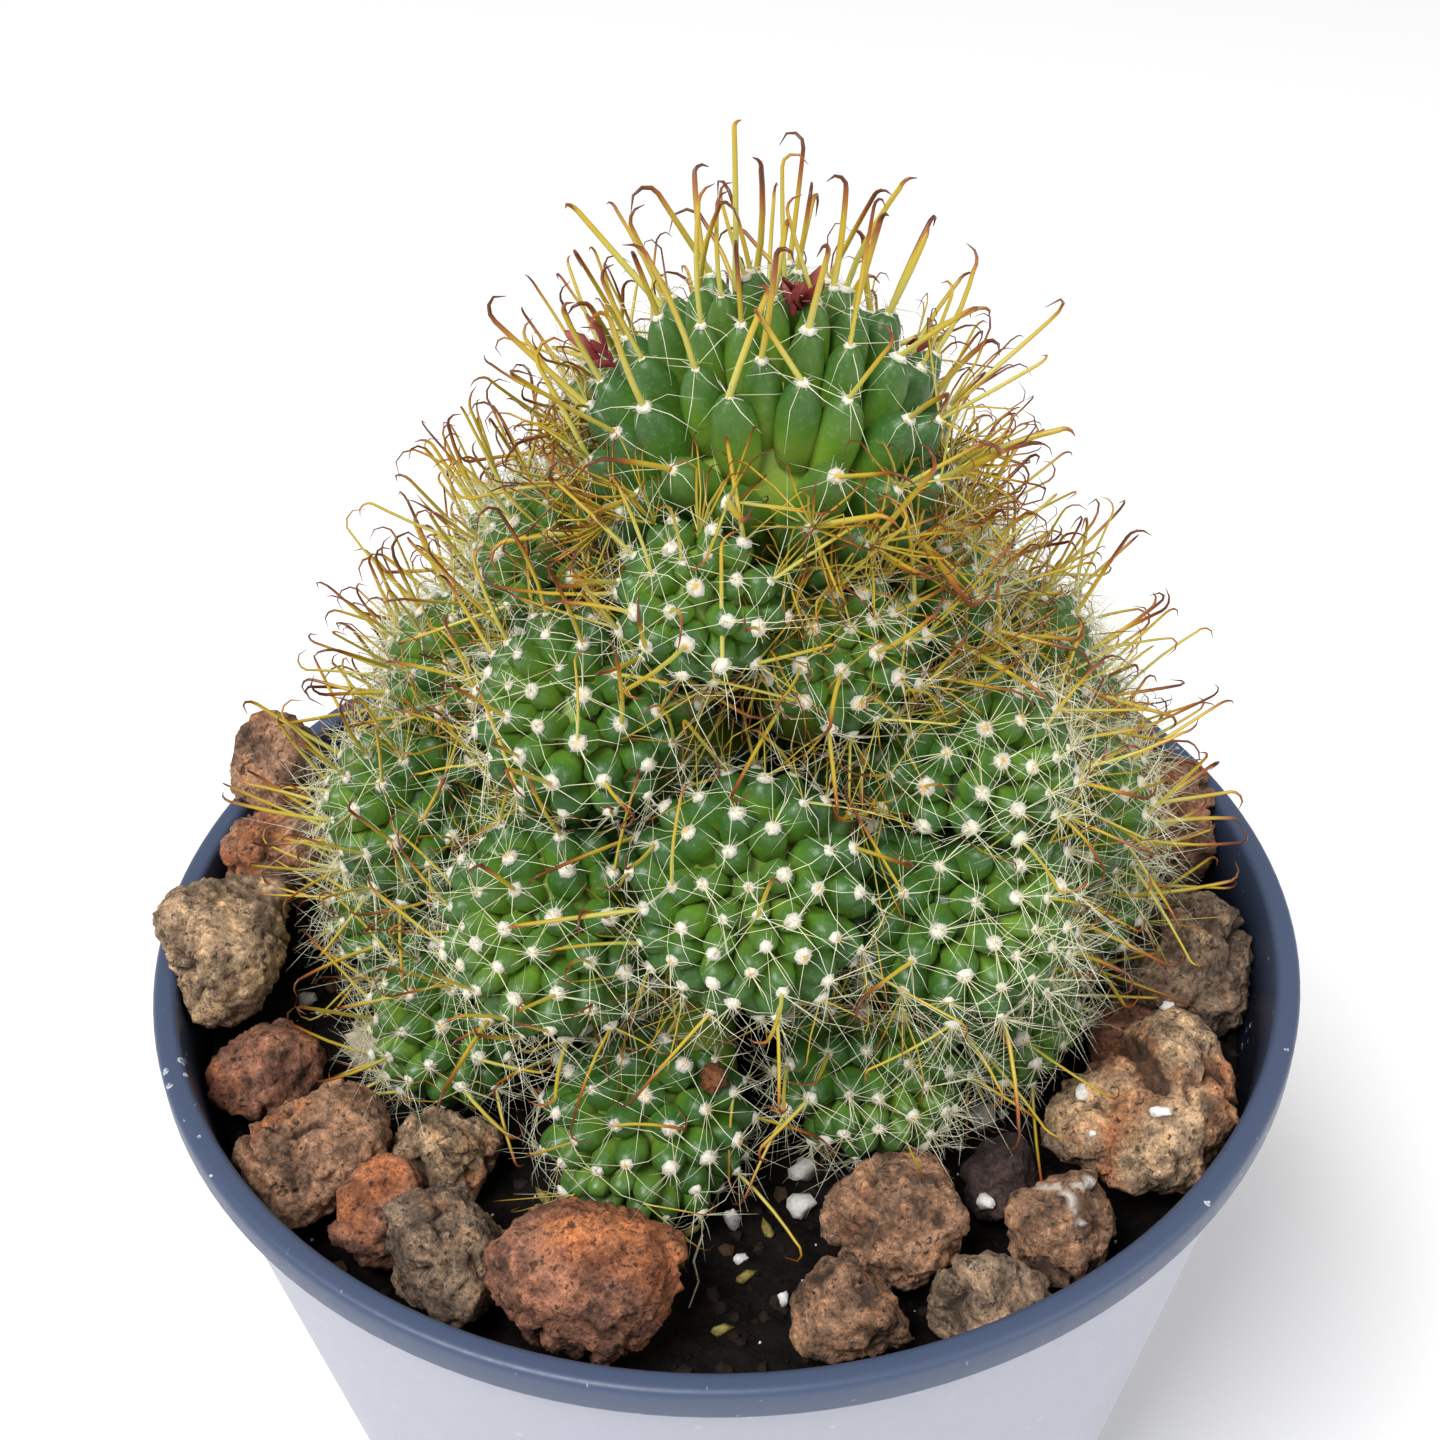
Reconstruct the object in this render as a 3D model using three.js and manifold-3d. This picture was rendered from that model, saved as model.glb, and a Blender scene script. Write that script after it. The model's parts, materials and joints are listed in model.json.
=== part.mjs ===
// A clump of a small hooked-spine cactus in a round plastic nursery pot, with lava rock on its soil.
// Millimetres, +Z up. The origin is the centre of the pot's foot, on the surface that it stands on.
import * as THREE from 'three';
import { ConvexHull } from 'three/addons/math/ConvexHull.js';
import { mergeVertices } from 'three/addons/utils/BufferGeometryUtils.js';
import Module from 'manifold-3d';

const wasm = await Module();
wasm.setup();

// Pot
const potHeight = 90;
const rimRadius = 52.5;
const lipWidth = 2.2;
const lipHeight = 3;
const lipRound = 0.7;
const wallThickness = 1.2;
const bodyTopRadius = 51.2;
const footRadius = 36.5;
const footWidth = 2.5;
const footHeight = 1.5;
const footSlant = 0.5;
const floorThickness = 1.2;
const drainHoles = 5;
const drainHoleRadius = 3.5;
const drainCircleRadius = 22;
const drainHoleSides = 8;
const cutterMargin = 1;
const potSides = 36;

// Soil, heaped towards the back left
const soilDrop = 11;
const heapRise = 8;
const heapBearing = THREE.MathUtils.degToRad(150);
const rippleHeight = 0.35;
const rippleAlongX = 0.5;
const rippleAlongY = 0.45;
const rippleStart = 1;
const slopeStep = 2;
const soilRings = [43, 33, 18];

// Fit between neighbours
const gap = 0.3;
const stemHoleGap = 1.5 * gap;
const partingMargin = 2 * gap;

// Mother plant
const mother = { x: 4.6, y: 0, aboveRim: 48, radius: 14.6 };
const motherStem = { x: mother.x, y: mother.y, radius: 11 };
const motherStemSides = 14;
const motherGrowth = { tubercles: 62, spines: 24, crownSpine: 12.5, spineLength: 9.5, seed: 11 };

// Mound of offsets: its envelope gives the way that each head faces
const mound = { x: 3, y: 1, aboveRim: 2, radius: 37, rise: 46 };
const offsetGrowth = { tubercles: 25, spines: 9, crownSpine: 9.5, spineLength: 9.5, seed: 100 };
const tubercleCap = THREE.MathUtils.degToRad(118);
const baseTubercles = 4;
const baseTilt = THREE.MathUtils.degToRad(145);
const valleyShare = 0.8;
const bodyLengthShare = 2.2;
const goldenAngle = Math.PI * (3 - Math.sqrt(5));

// Short stems of the lowest offsets
const shortStemRadius = 2.6;
const shortStemSides = 7;
const rootDepth = 4;
const rootedBelow = 6;

// Spines
const spineSides = 3;
const spineRootShare = 0.1;
const spineShaftRadius = 0.24;
const hookBendRadius = 0.2;
const hookRadius = 1.5;
const hookTurn = THREE.MathUtils.degToRad(150);
const spineLean = 0.35;
const spineStride = 7;
const spineClearance = 0.9;
const rootClearance = 1;
const groundClearance = 2;

// Withered flower at the mother's crown
const flowerRadius = 1.5;
const flowerLength = 5;
const flowerTaper = 0.6;
const flowerSides = 5;
const flowerSunk = 2;
const flowerDirection = new THREE.Vector3(0.12, -0.3, 1).normalize();

// Offsets: x, y, height of the centre above the rim, radius
const offsets = [
  // Front and sides, from the crown down
  [-1, -14, 44, 6.6],
  [9.5, -12.5, 38, 6.8],
  [16, -5.5, 37.5, 7],
  [-13, 1, 38, 7],
  [-7, 14, 44, 6],
  [25.5, 3, 25, 7.8],
  [-10.5, -11.5, 31.5, 9],
  [20, -13.5, 27, 8.6],
  [-21.5, 5, 24, 7.8],
  [2, -22, 21.5, 9.8],
  [-13.8, -19, 16, 9.4],
  [19, -18.5, 16.5, 9.8],
  [29.8, -4, 14.5, 8],
  [-26.8, -2.5, 15, 8.2],
  [-29, -1, 1.5, 7.6],
  [32, -1.5, 2, 7.4],
  [-24.5, -13, -1.5, 7.4],
  [-7.2, -23.5, -2.5, 9.2],
  [12, -19.5, -0.5, 8.6],
  [24, -13.5, 0, 7.6],
  // Back, in four rings
  [13, 12, 40, 7.2],
  [2, 16, 39, 8],
  [18, 15, 27, 8.4],
  [8, 23, 28, 9],
  [-5.5, 22, 28, 8.6],
  [-14.5, 14, 30, 8],
  [30, 10, 12, 8.6],
  [22, 23.5, 13, 9.4],
  [6, 31, 13, 9.6],
  [-10.5, 29, 13, 9.4],
  [-23.5, 18, 13, 9.2],
  [31, 14, -2, 8.6],
  [14, 31, -2, 9.2],
  [-5, 33, -2, 9.2],
  [-23.5, 21.5, 0, 9],
];

// Lava rocks: x, y, half length, half width, half height, turn in degrees, colour
const rocks = [
  [-44.2, 20, 6, 5.4, 6.4, 70, 'brown'],
  [-44, 9.5, 5.4, 5, 5.6, 20, 'brown'],
  [-46.2, -3, 8.8, 6, 7.2, 78, 'tan'],
  [-41.2, -14.5, 6, 4.4, 4.6, 10, 'red'],
  [-36, -24, 8.4, 6.2, 5.8, 15, 'brown'],
  [-24.6, -23, 5.2, 4.2, 4.4, 40, 'tan'],
  [-29.2, -29.4, 4.8, 4.2, 4.6, 120, 'red'],
  [-23, -34, 5.8, 6, 5.8, 30, 'grey'],
  [-12, -38.8, 10.2, 5.8, 6.4, 172, 'red'],
  [14.3, -32.6, 6.4, 5.4, 5.4, 20, 'brown'],
  [9, -40.4, 4.8, 4.4, 4.4, 0, 'brown'],
  [23, -26.8, 3.6, 3.2, 3.4, 60, 'dark'],
  [27.4, -33.2, 5.6, 4.8, 5, 30, 'brown'],
  [20.4, -40, 5.8, 4.2, 4.6, 160, 'grey'],
  [35.4, -22.6, 9.4, 7.6, 7.2, 50, 'tan'],
  [43, -4.6, 7.8, 6.4, 6.2, 15, 'grey'],
  [36.4, -10.4, 4.2, 3.2, 3.8, 0, 'red'],
  [44.6, 13.8, 9, 5.4, 7.2, 76, 'brown'],
  // Behind the mound
  [32, 28.5, 6.4, 5, 5, 140, 'brown'],
  [13, 42, 6, 5, 5, 170, 'grey'],
  [-8, 43, 5.6, 4.8, 4.8, 15, 'tan'],
  [-27.5, 35, 6.6, 5.2, 5.2, 40, 'red'],
];
const rockDetail = 2;
const rockDents = 0.1;
const rockBulge = 0.16;
const rockBreaks = 12;
const breakShare = 0.64;
const breakSpread = 0.32;
const rockSeat = 0.85;
const rockSeed = 500;
const wallGap = 0.55;
const shrinkStep = 0.97;

// Materials
const plain = (color, roughness) => new THREE.MeshStandardMaterial({ color, roughness, metalness: 0 });
const potMaterial = plain(0x6b7c99, 0.45);
const soilMaterial = plain(0x17120f, 1);
const fleshMaterial = plain(0x3f7a35, 0.5);
const rockMaterials = {
  brown: plain(0x7b5744, 0.95),
  tan: plain(0xa08468, 0.95),
  red: plain(0x8a4a33, 0.95),
  grey: plain(0x77695f, 0.95),
  dark: plain(0x3d302b, 0.95),
};

// Figures that follow from the driving dimensions
const soilLevel = potHeight - soilDrop;
const lipBottom = potHeight - lipHeight;
const floorTop = footHeight + floorThickness;
const rippleMargin = rippleHeight + gap;

const plant = new THREE.Group();

function add(name, geometry, material) {
  const mesh = new THREE.Mesh(geometry, material);
  mesh.name = name;
  plant.add(mesh);
}

// A repeatable stream of numbers from 0 to 1.
function randomStream(seed) {
  let state = seed;
  return () => {
    state = (state + 0x6d2b79f5) | 0;
    let mixed = Math.imul(state ^ (state >>> 15), 1 | state);
    mixed = (mixed + Math.imul(mixed ^ (mixed >>> 7), 61 | mixed)) ^ mixed;
    return ((mixed ^ (mixed >>> 14)) >>> 0) / 4294967296;
  };
}

function toSolid(geometry) {
  const bare = geometry.clone();
  bare.deleteAttribute('normal');
  bare.deleteAttribute('uv');
  const merged = mergeVertices(bare);
  return new wasm.Manifold(new wasm.Mesh({
    numProp: 3,
    vertProperties: merged.getAttribute('position').array,
    triVerts: new Uint32Array(merged.index.array),
  }));
}

function toGeometry(solid) {
  const mesh = solid.getMesh();
  const geometry = new THREE.BufferGeometry();
  geometry.setAttribute('position', new THREE.BufferAttribute(mesh.vertProperties, 3));
  geometry.setIndex(new THREE.BufferAttribute(mesh.triVerts, 1));
  return geometry;
}

// A straight upright prism between two levels.
function uprightPrism(x, y, bottom, top, radius, sides) {
  const geometry = new THREE.CylinderGeometry(radius, radius, top - bottom, sides);
  geometry.rotateX(Math.PI / 2);
  return geometry.translate(x, y, (bottom + top) / 2);
}

// A profile of [radius, height] points turned about the pot's axis.
function turned(profile) {
  const points = profile.map(([radius, height]) => new THREE.Vector2(radius, height));
  return new THREE.LatheGeometry(points, potSides).rotateX(Math.PI / 2);
}

function outerRadius(height) {
  return footRadius + (bodyTopRadius - footRadius) * (height / lipBottom);
}

function innerRadius(height) {
  return Math.min(outerRadius(height) - wallThickness, rimRadius - lipWidth);
}

// The soil's smooth heap, and its surface with the ripples.
function heapHeight(x, y) {
  const reach = Math.hypot(x, y) / rimRadius;
  const towardsHeap = Math.max(0, Math.cos(Math.atan2(y, x) - heapBearing));
  return soilLevel + heapRise * towardsHeap ** 2 * reach ** 2;
}

function soilHeight(x, y) {
  const ripple = rippleHeight * Math.sin(rippleAlongX * x + rippleStart) * Math.cos(rippleAlongY * y);
  return heapHeight(x, y) + ripple;
}

// Pot: a thin tapering shell with a rounded lip and a base plate raised on its foot ring.
function makePot() {
  const lipInner = rimRadius - lipWidth;
  let shell = toSolid(turned([
    [0, footHeight],
    [footRadius - footWidth - footSlant, footHeight],
    [footRadius - footWidth, 0],
    [footRadius, 0],
    [bodyTopRadius, lipBottom],
    [rimRadius - lipRound / 2, lipBottom],
    [rimRadius, lipBottom + lipRound],
    [rimRadius, potHeight - lipRound],
    [rimRadius - lipRound, potHeight],
    [lipInner + lipRound, potHeight],
    [lipInner, potHeight - lipRound],
    [innerRadius(lipBottom - lipHeight), lipBottom - lipHeight],
    [innerRadius(floorTop), floorTop],
    [0, floorTop],
  ]));
  for (let i = 0; i < drainHoles; i += 1) {
    const bearing = (2 * Math.PI * i) / drainHoles;
    const x = drainCircleRadius * Math.cos(bearing);
    const y = drainCircleRadius * Math.sin(bearing);
    const top = floorTop + cutterMargin;
    const hole = uprightPrism(x, y, -cutterMargin, top, drainHoleRadius, drainHoleSides);
    shell = shell.subtract(toSolid(hole));
  }
  add('pot', toGeometry(shell), potMaterial);
}

// Lumps are what stands on the soil: the mother head, the offsets and the rocks. Each keeps to its own
// cell among its neighbours, whose flat sides lie where the two lumps would press on each other.
const motherLump = {
  centre: new THREE.Vector3(mother.x, mother.y, potHeight + mother.aboveRim),
  radius: mother.radius,
  reach: mother.radius,
  axis: new THREE.Vector3(0, 0, 1),
};
const offsetLumps = offsets.map(([x, y, aboveRim, radius]) => {
  const centre = new THREE.Vector3(x, y, potHeight + aboveRim);
  return { centre, radius, reach: radius, axis: headAxis({ centre }) };
});
const rockLumps = rocks.map(([x, y, halfLength, halfWidth, halfHeight, turn, colour]) => ({
  centre: new THREE.Vector3(x, y, soilHeight(x, y) + rockSeat * halfHeight),
  radius: (halfLength + halfWidth + halfHeight) / 3,
  reach: Math.max(halfLength, halfWidth, halfHeight) * (1 + rockBulge),
  halves: new THREE.Vector3(halfLength, halfWidth, halfHeight),
  turn: THREE.MathUtils.degToRad(turn),
  colour,
}));
const lumps = [motherLump, ...offsetLumps, ...rockLumps];

// Distance from one lump's centre to the plane that parts it from another.
function partingDistance(lump, other) {
  const between = lump.centre.distanceTo(other.centre);
  return (between ** 2 + lump.radius ** 2 - other.radius ** 2) / (2 * between);
}

function neighbourPlanes(lump) {
  const near = lumps.filter((other) => {
    const between = other.centre.distanceTo(lump.centre);
    return other !== lump && between < (lump.radius + other.radius) * bodyLengthShare;
  });
  return near.map((other) => ({
    normal: other.centre.clone().sub(lump.centre).normalize(),
    distance: partingDistance(lump, other) - gap / 2,
  }));
}

// The soil under a lump, as the plane that follows the heap's slope there, clear of the ripples.
function soilPlane({ centre: { x, y, z } }) {
  const slope = (ahead, behind) => (ahead - behind) / (2 * slopeStep);
  const slopeX = slope(heapHeight(x + slopeStep, y), heapHeight(x - slopeStep, y));
  const slopeY = slope(heapHeight(x, y + slopeStep), heapHeight(x, y - slopeStep));
  const normal = new THREE.Vector3(slopeX, slopeY, -1).normalize();
  const height = z - heapHeight(x, y) - rippleMargin;
  return { normal, distance: -normal.z * height };
}

// A stem beside a lump, as the upright plane that touches it on the lump's side.
function stemPlane({ centre }, { x, y, radius }) {
  const towards = new THREE.Vector3(x - centre.x, y - centre.y, 0);
  const distance = towards.length() - radius - gap;
  return { normal: towards.normalize(), distance };
}

function reachWithin(planes, direction, reach) {
  return planes.reduce((shortest, { normal, distance }) => {
    const facing = normal.dot(direction);
    return facing > 0 ? Math.min(shortest, distance / facing) : shortest;
  }, reach);
}

// The way that a head faces: square to the mound's envelope.
function headAxis({ centre }) {
  const fromMound = centre.clone().sub(new THREE.Vector3(mound.x, mound.y, potHeight + mound.aboveRim));
  const squares = new THREE.Vector3(mound.radius ** 2, mound.radius ** 2, mound.rise ** 2);
  return fromMound.divide(squares).normalize();
}

// A head's envelope: a dome in front of its centre and a straight body behind it.
function headReach({ axis, radius }, direction) {
  if (direction.dot(axis) >= 0) {
    return radius;
  }
  const slant = direction.clone().cross(axis).length();
  return radius / Math.max(slant, 1 / bodyLengthShare);
}

// Tubercles in the spiral of a growing tip, and then a few wide ones on the hidden underside.
function tubercleDirections(axis, count) {
  const directions = [];
  const addDirection = (tilt, turn) => {
    directions.push(new THREE.Vector3().setFromSphericalCoords(1, tilt, turn));
  };
  for (let i = 0; i < count; i += 1) {
    const facing = 1 - ((i + 0.5) / count) * (1 - Math.cos(tubercleCap));
    addDirection(Math.acos(facing), i * goldenAngle);
  }
  for (let i = 0; i < baseTubercles; i += 1) {
    addDirection(baseTilt, (2 * Math.PI * i) / baseTubercles);
  }
  directions.push(new THREE.Vector3(0, -1, 0));
  const turn = new THREE.Quaternion().setFromUnitVectors(new THREE.Vector3(0, 1, 0), axis);
  return directions.map((direction) => direction.applyQuaternion(turn));
}

// A hooked spine's line: a straight shaft, and stations round the hook with the turn at each.
function spineLine(root, direction, side, length) {
  const shaftEnd = root.clone().addScaledVector(direction, length);
  return [0, hookTurn / 2, hookTurn].map((turn) => ({
    turn,
    point: shaftEnd.clone()
      .addScaledVector(direction, hookRadius * Math.sin(turn))
      .addScaledVector(side, hookRadius * (1 - Math.cos(turn))),
  }));
}

function pointsAlong(points, spacing) {
  const path = new THREE.CurvePath();
  for (let i = 1; i < points.length; i += 1) {
    path.add(new THREE.LineCurve3(points[i - 1], points[i]));
  }
  return path.getSpacedPoints(Math.ceil(path.getLength() / spacing));
}

// Whether a point is clear of another lump: beyond its envelope, or well on its own side between the two.
function isClearOf(lump, other, point) {
  const bodyEnd = other.centre.clone();
  if (other.axis) {
    bodyEnd.addScaledVector(other.axis, -other.radius * bodyLengthShare);
  }
  const body = new THREE.Line3(other.centre, bodyEnd);
  const nearest = body.closestPointToPoint(point, true, new THREE.Vector3());
  if (nearest.distanceTo(point) > other.reach + spineClearance) {
    return true;
  }
  const own = point.distanceToSquared(lump.centre) - lump.radius ** 2;
  const theirs = point.distanceToSquared(other.centre) - other.radius ** 2;
  return (theirs - own) / (2 * lump.centre.distanceTo(other.centre)) > partingMargin;
}

const spinesSoFar = [];

// Whether a spine stays over the pot, clear of its wall, the soil, the other lumps and every spine so far.
function spineIsClear(lump, points) {
  const wallLine = innerRadius(potHeight) - groundClearance;
  return points.every((point) => (
    point.z > soilHeight(point.x, point.y) + groundClearance
    && Math.hypot(point.x, point.y) < (point.z > potHeight + groundClearance ? rimRadius : wallLine)
    && lumps.every((other) => other === lump || isClearOf(lump, other, point))
    && spinesSoFar.every((spine) => spine.every((taken) => taken.distanceTo(point) > spineClearance))
  ));
}

// The central spines of a head, by the number of their tubercle: one to a tubercle, spread over the head,
// and left out where they would touch anything else.
function centralSpines(lump, tips, planes, { tubercles, spines, crownSpine, spineLength, seed }) {
  const random = randomStream(seed);
  const kept = new Map();
  for (let i = 0; i < tubercles && kept.size < spines; i += 1) {
    const number = (i * spineStride) % tubercles;
    const tip = tips[number];
    const lean = new THREE.Vector3(random() - 0.5, random() - 0.5, random() - 0.5);
    const direction = tip.clone().addScaledVector(lean, spineLean).normalize();
    const side = lean.clone().cross(direction).normalize();
    const root = lump.centre.clone().addScaledVector(tip, lump.radius);
    const line = spineLine(root, direction, side, number === 0 ? crownSpine : spineLength);
    const start = root.clone().addScaledVector(direction, rootClearance);
    const points = pointsAlong([start, ...line.map(({ point }) => point)], spineClearance / 2);
    const isFree = reachWithin(planes, tip, lump.radius) === lump.radius;
    if (isFree && spineIsClear(lump, points)) {
      spinesSoFar.push(points);
      kept.set(number, { root, direction, hookAxis: direction.clone().cross(side), line });
    }
  }
  return kept;
}

// The valleys round a tubercle, anticlockwise as seen from outside.
function valleysAround(firstEdge, valleyIndex) {
  const valleys = [];
  let edge = firstEdge;
  do {
    valleys.push(valleyIndex.get(edge.face));
    edge = edge.prev.twin;
  } while (edge !== firstEdge);
  return valleys;
}

// The skin of a head: a low pyramid for each tubercle, whose feet are the corners that three neighbouring
// tubercles share. Where a spine grows, the pyramid's tip opens into a small ring that runs up into it.
function headSkin(lump, tips, planes, spines) {
  const hull = new ConvexHull().setFromPoints(tips);
  const place = (direction, share) => direction.clone()
    .multiplyScalar(reachWithin(planes, direction, headReach(lump, direction) * share))
    .add(lump.centre);
  const points = [];
  const index = [];
  const addPoint = (point) => points.push(point) - 1;
  const valleyIndex = new Map();
  const firstEdges = new Map();
  for (const face of hull.faces) {
    valleyIndex.set(face, addPoint(place(face.normal, valleyShare)));
    for (const edge of [face.edge, face.edge.next, face.edge.prev]) {
      firstEdges.set(edge.tail().point, edge);
    }
  }
  tips.forEach((tip, number) => {
    const valleys = valleysAround(firstEdges.get(tip), valleyIndex);
    const peak = place(tip, 1);
    const sides = valleys.length;
    const spine = spines.get(number);
    if (!spine) {
      const peakIndex = addPoint(peak);
      valleys.forEach((valley, i) => index.push(peakIndex, valley, valleys[(i + 1) % sides]));
      return;
    }
    const corners = [];
    for (let i = 0; i < spineSides; i += 1) {
      corners.push(Math.floor((i * sides) / spineSides));
    }
    const rim = corners.map((corner) => peak.clone().lerp(points[valleys[corner]], spineRootShare));
    let ring = rim.map(addPoint);
    corners.forEach((corner, i) => {
      const next = i + 1 < spineSides ? corners[i + 1] : sides;
      for (let j = corner; j < next; j += 1) {
        index.push(ring[i], valleys[j], valleys[(j + 1) % sides]);
      }
      index.push(ring[i], valleys[next % sides], ring[(i + 1) % spineSides]);
    });
    const spokes = rim.map((point) => (
      point.clone().sub(peak).projectOnPlane(spine.direction).normalize()
    ));
    const [shaftEnd, hookBend, hookTip] = spine.line;
    for (const [{ point, turn }, radius] of [[shaftEnd, spineShaftRadius], [hookBend, hookBendRadius]]) {
      const above = spokes.map((spoke) => addPoint(
        spoke.clone().applyAxisAngle(spine.hookAxis, turn).multiplyScalar(radius).add(point),
      ));
      ring.forEach((low, i) => {
        const after = (i + 1) % spineSides;
        index.push(low, ring[after], above[after], low, above[after], above[i]);
      });
      ring = above;
    }
    const end = addPoint(hookTip.point);
    ring.forEach((low, i) => index.push(low, ring[(i + 1) % spineSides], end));
  });
  return new THREE.BufferGeometry().setFromPoints(points).setIndex(index);
}

function fused(parts) {
  return toGeometry(parts.map(toSolid).reduce((sum, solid) => sum.add(solid)));
}

// Mother head: the tallest, on the stem that the offsets grow round, with a withered flower at its crown.
function makeMother() {
  const planes = neighbourPlanes(motherLump);
  const tips = tubercleDirections(motherLump.axis, motherGrowth.tubercles);
  const spines = centralSpines(motherLump, tips, planes, motherGrowth);
  const { x, y, radius } = motherStem;
  const stemTop = motherLump.centre.z - mother.radius / 2;
  const stem = uprightPrism(x, y, soilLevel - rootDepth, stemTop, radius, motherStemSides);
  const flowerMiddle = motherLump.centre.clone()
    .addScaledVector(flowerDirection, mother.radius + flowerLength / 2 - flowerSunk);
  const flowerTop = flowerRadius * flowerTaper;
  const flower = new THREE.CylinderGeometry(flowerTop, flowerRadius, flowerLength, flowerSides);
  const cylinderAxis = new THREE.Vector3(0, 1, 0);
  flower.applyQuaternion(new THREE.Quaternion().setFromUnitVectors(cylinderAxis, flowerDirection));
  flower.translate(flowerMiddle.x, flowerMiddle.y, flowerMiddle.z);
  add('mother_head', fused([headSkin(motherLump, tips, planes, spines), stem, flower]), fleshMaterial);
}

function isRooted({ centre, radius }) {
  return centre.z - radius < soilHeight(centre.x, centre.y) + rootedBelow;
}

function makeOffset(lump, number) {
  const planes = [...neighbourPlanes(lump), soilPlane(lump), stemPlane(lump, motherStem)];
  const tips = tubercleDirections(lump.axis, offsetGrowth.tubercles);
  const growth = { ...offsetGrowth, seed: offsetGrowth.seed + number };
  const parts = [headSkin(lump, tips, planes, centralSpines(lump, tips, planes, growth))];
  if (isRooted(lump)) {
    const { x, y, z } = lump.centre;
    parts.push(uprightPrism(x, y, soilHeight(x, y) - rootDepth, z, shortStemRadius, shortStemSides));
  }
  add(`offset_${String(number).padStart(2, '0')}`, fused(parts), fleshMaterial);
}

// Soil: fills the pot, with a plain hole for each stem that stands in it.
function makeSoil() {
  const bottom = floorTop + gap;
  const geometry = turned([
    [0, bottom],
    [innerRadius(bottom) - gap, bottom],
    [innerRadius(soilLevel) - gap, soilLevel],
    ...soilRings.map((radius) => [radius, soilLevel]),
    [0, soilLevel],
  ]);
  const position = geometry.getAttribute('position');
  for (let i = 0; i < position.count; i += 1) {
    if (position.getZ(i) > soilLevel - gap) {
      position.setZ(i, soilHeight(position.getX(i), position.getY(i)));
    }
  }
  let soil = toSolid(geometry);
  const dig = (x, y, depth, radius, sides) => {
    soil = soil.subtract(toSolid(uprightPrism(x, y, depth, potHeight, radius, sides)));
  };
  const { x: motherX, y: motherY, radius: motherRadius } = motherStem;
  dig(motherX, motherY, soilLevel - rootDepth - gap, motherRadius + stemHoleGap, motherStemSides);
  for (const { centre: { x, y } } of offsetLumps.filter(isRooted)) {
    dig(x, y, soilHeight(x, y) - rootDepth - gap, shortStemRadius + stemHoleGap, shortStemSides);
  }
  add('soil', toGeometry(soil), soilMaterial);
}

// Where a rock may be: inside the wall, or above the lip.
function isInsidePot(point) {
  const isAboveLip = point.z > potHeight + gap;
  const limit = isAboveLip ? rimRadius : innerRadius(Math.min(point.z, potHeight)) - wallGap;
  return Math.hypot(point.x, point.y) < limit;
}

// Flat broken faces of an ellipsoid, as planes at part of its reach.
function brokenFaces(halves, random) {
  const faces = [];
  for (let i = 0; i < rockBreaks; i += 1) {
    const normal = new THREE.Vector3(random() - 0.5, random() - 0.5, random() - 0.5).normalize();
    const reach = normal.clone().multiply(halves).length();
    faces.push({ normal, distance: reach * (breakShare + breakSpread * random()) });
  }
  return faces;
}

// The ring that a rock leaning over the lip is cut by, so that it only rests there.
function lipRing() {
  const inner = rimRadius - lipWidth - wallGap;
  const outer = rimRadius + cutterMargin;
  const bottom = soilLevel;
  const top = potHeight + gap;
  return toSolid(turned([[inner, bottom], [outer, bottom], [outer, top], [inner, top], [inner, bottom]]));
}

// A rough broken lump, cut off flat where it meets the soil, the wall or a neighbour.
function makeRock(lump, number) {
  const shortStems = offsetLumps.filter(isRooted)
    .map(({ centre: { x, y } }) => stemPlane(lump, { x, y, radius: shortStemRadius }));
  const planes = [...neighbourPlanes(lump), soilPlane(lump), ...shortStems];
  const random = randomStream(rockSeed + number);
  const breaks = brokenFaces(lump.halves, random);
  const bare = new THREE.IcosahedronGeometry(1, rockDetail);
  bare.deleteAttribute('normal');
  bare.deleteAttribute('uv');
  const geometry = mergeVertices(bare);
  const position = geometry.getAttribute('position');
  const upright = new THREE.Vector3(0, 0, 1);
  let leansOnLip = false;
  for (let i = 0; i < position.count; i += 1) {
    const direction = new THREE.Vector3().fromBufferAttribute(position, i).normalize();
    const ellipsoidReach = 1 / direction.clone().divide(lump.halves).length();
    const turnedWay = direction.clone().applyAxisAngle(upright, lump.turn);
    let reach = ellipsoidReach * (1 + rockBulge - rockDents * random());
    reach = reachWithin(breaks, direction, reach);
    reach = reachWithin(planes, turnedWay, reach);
    const point = lump.centre.clone().addScaledVector(turnedWay, reach);
    while (!isInsidePot(point)) {
      reach *= shrinkStep;
      point.copy(lump.centre).addScaledVector(turnedWay, reach);
    }
    leansOnLip ||= Math.hypot(point.x, point.y) > rimRadius - lipWidth - wallGap;
    position.setXYZ(i, point.x, point.y, point.z);
  }
  const rock = leansOnLip ? toGeometry(toSolid(geometry).subtract(lipRing())) : geometry;
  add(`lava_rock_${String(number).padStart(2, '0')}`, rock, rockMaterials[lump.colour]);
}

makePot();
makeSoil();
makeMother();
offsetLumps.forEach((lump, i) => makeOffset(lump, i + 1));
rockLumps.forEach((lump, i) => makeRock(lump, i + 1));

export default plant;
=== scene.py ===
"""A potted clump of a small hooked-spine cactus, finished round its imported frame.

Everything is in metres, +Z up, with the origin at the centre of the pot's foot.
"""

import json
import math
from dataclasses import dataclass, field

import bmesh
import bpy
import numpy as np
from bpy.props import FloatProperty, FloatVectorProperty, IntProperty, PointerProperty
from mathutils import Matrix, Vector, noise
from mathutils.bvhtree import BVHTree


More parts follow.
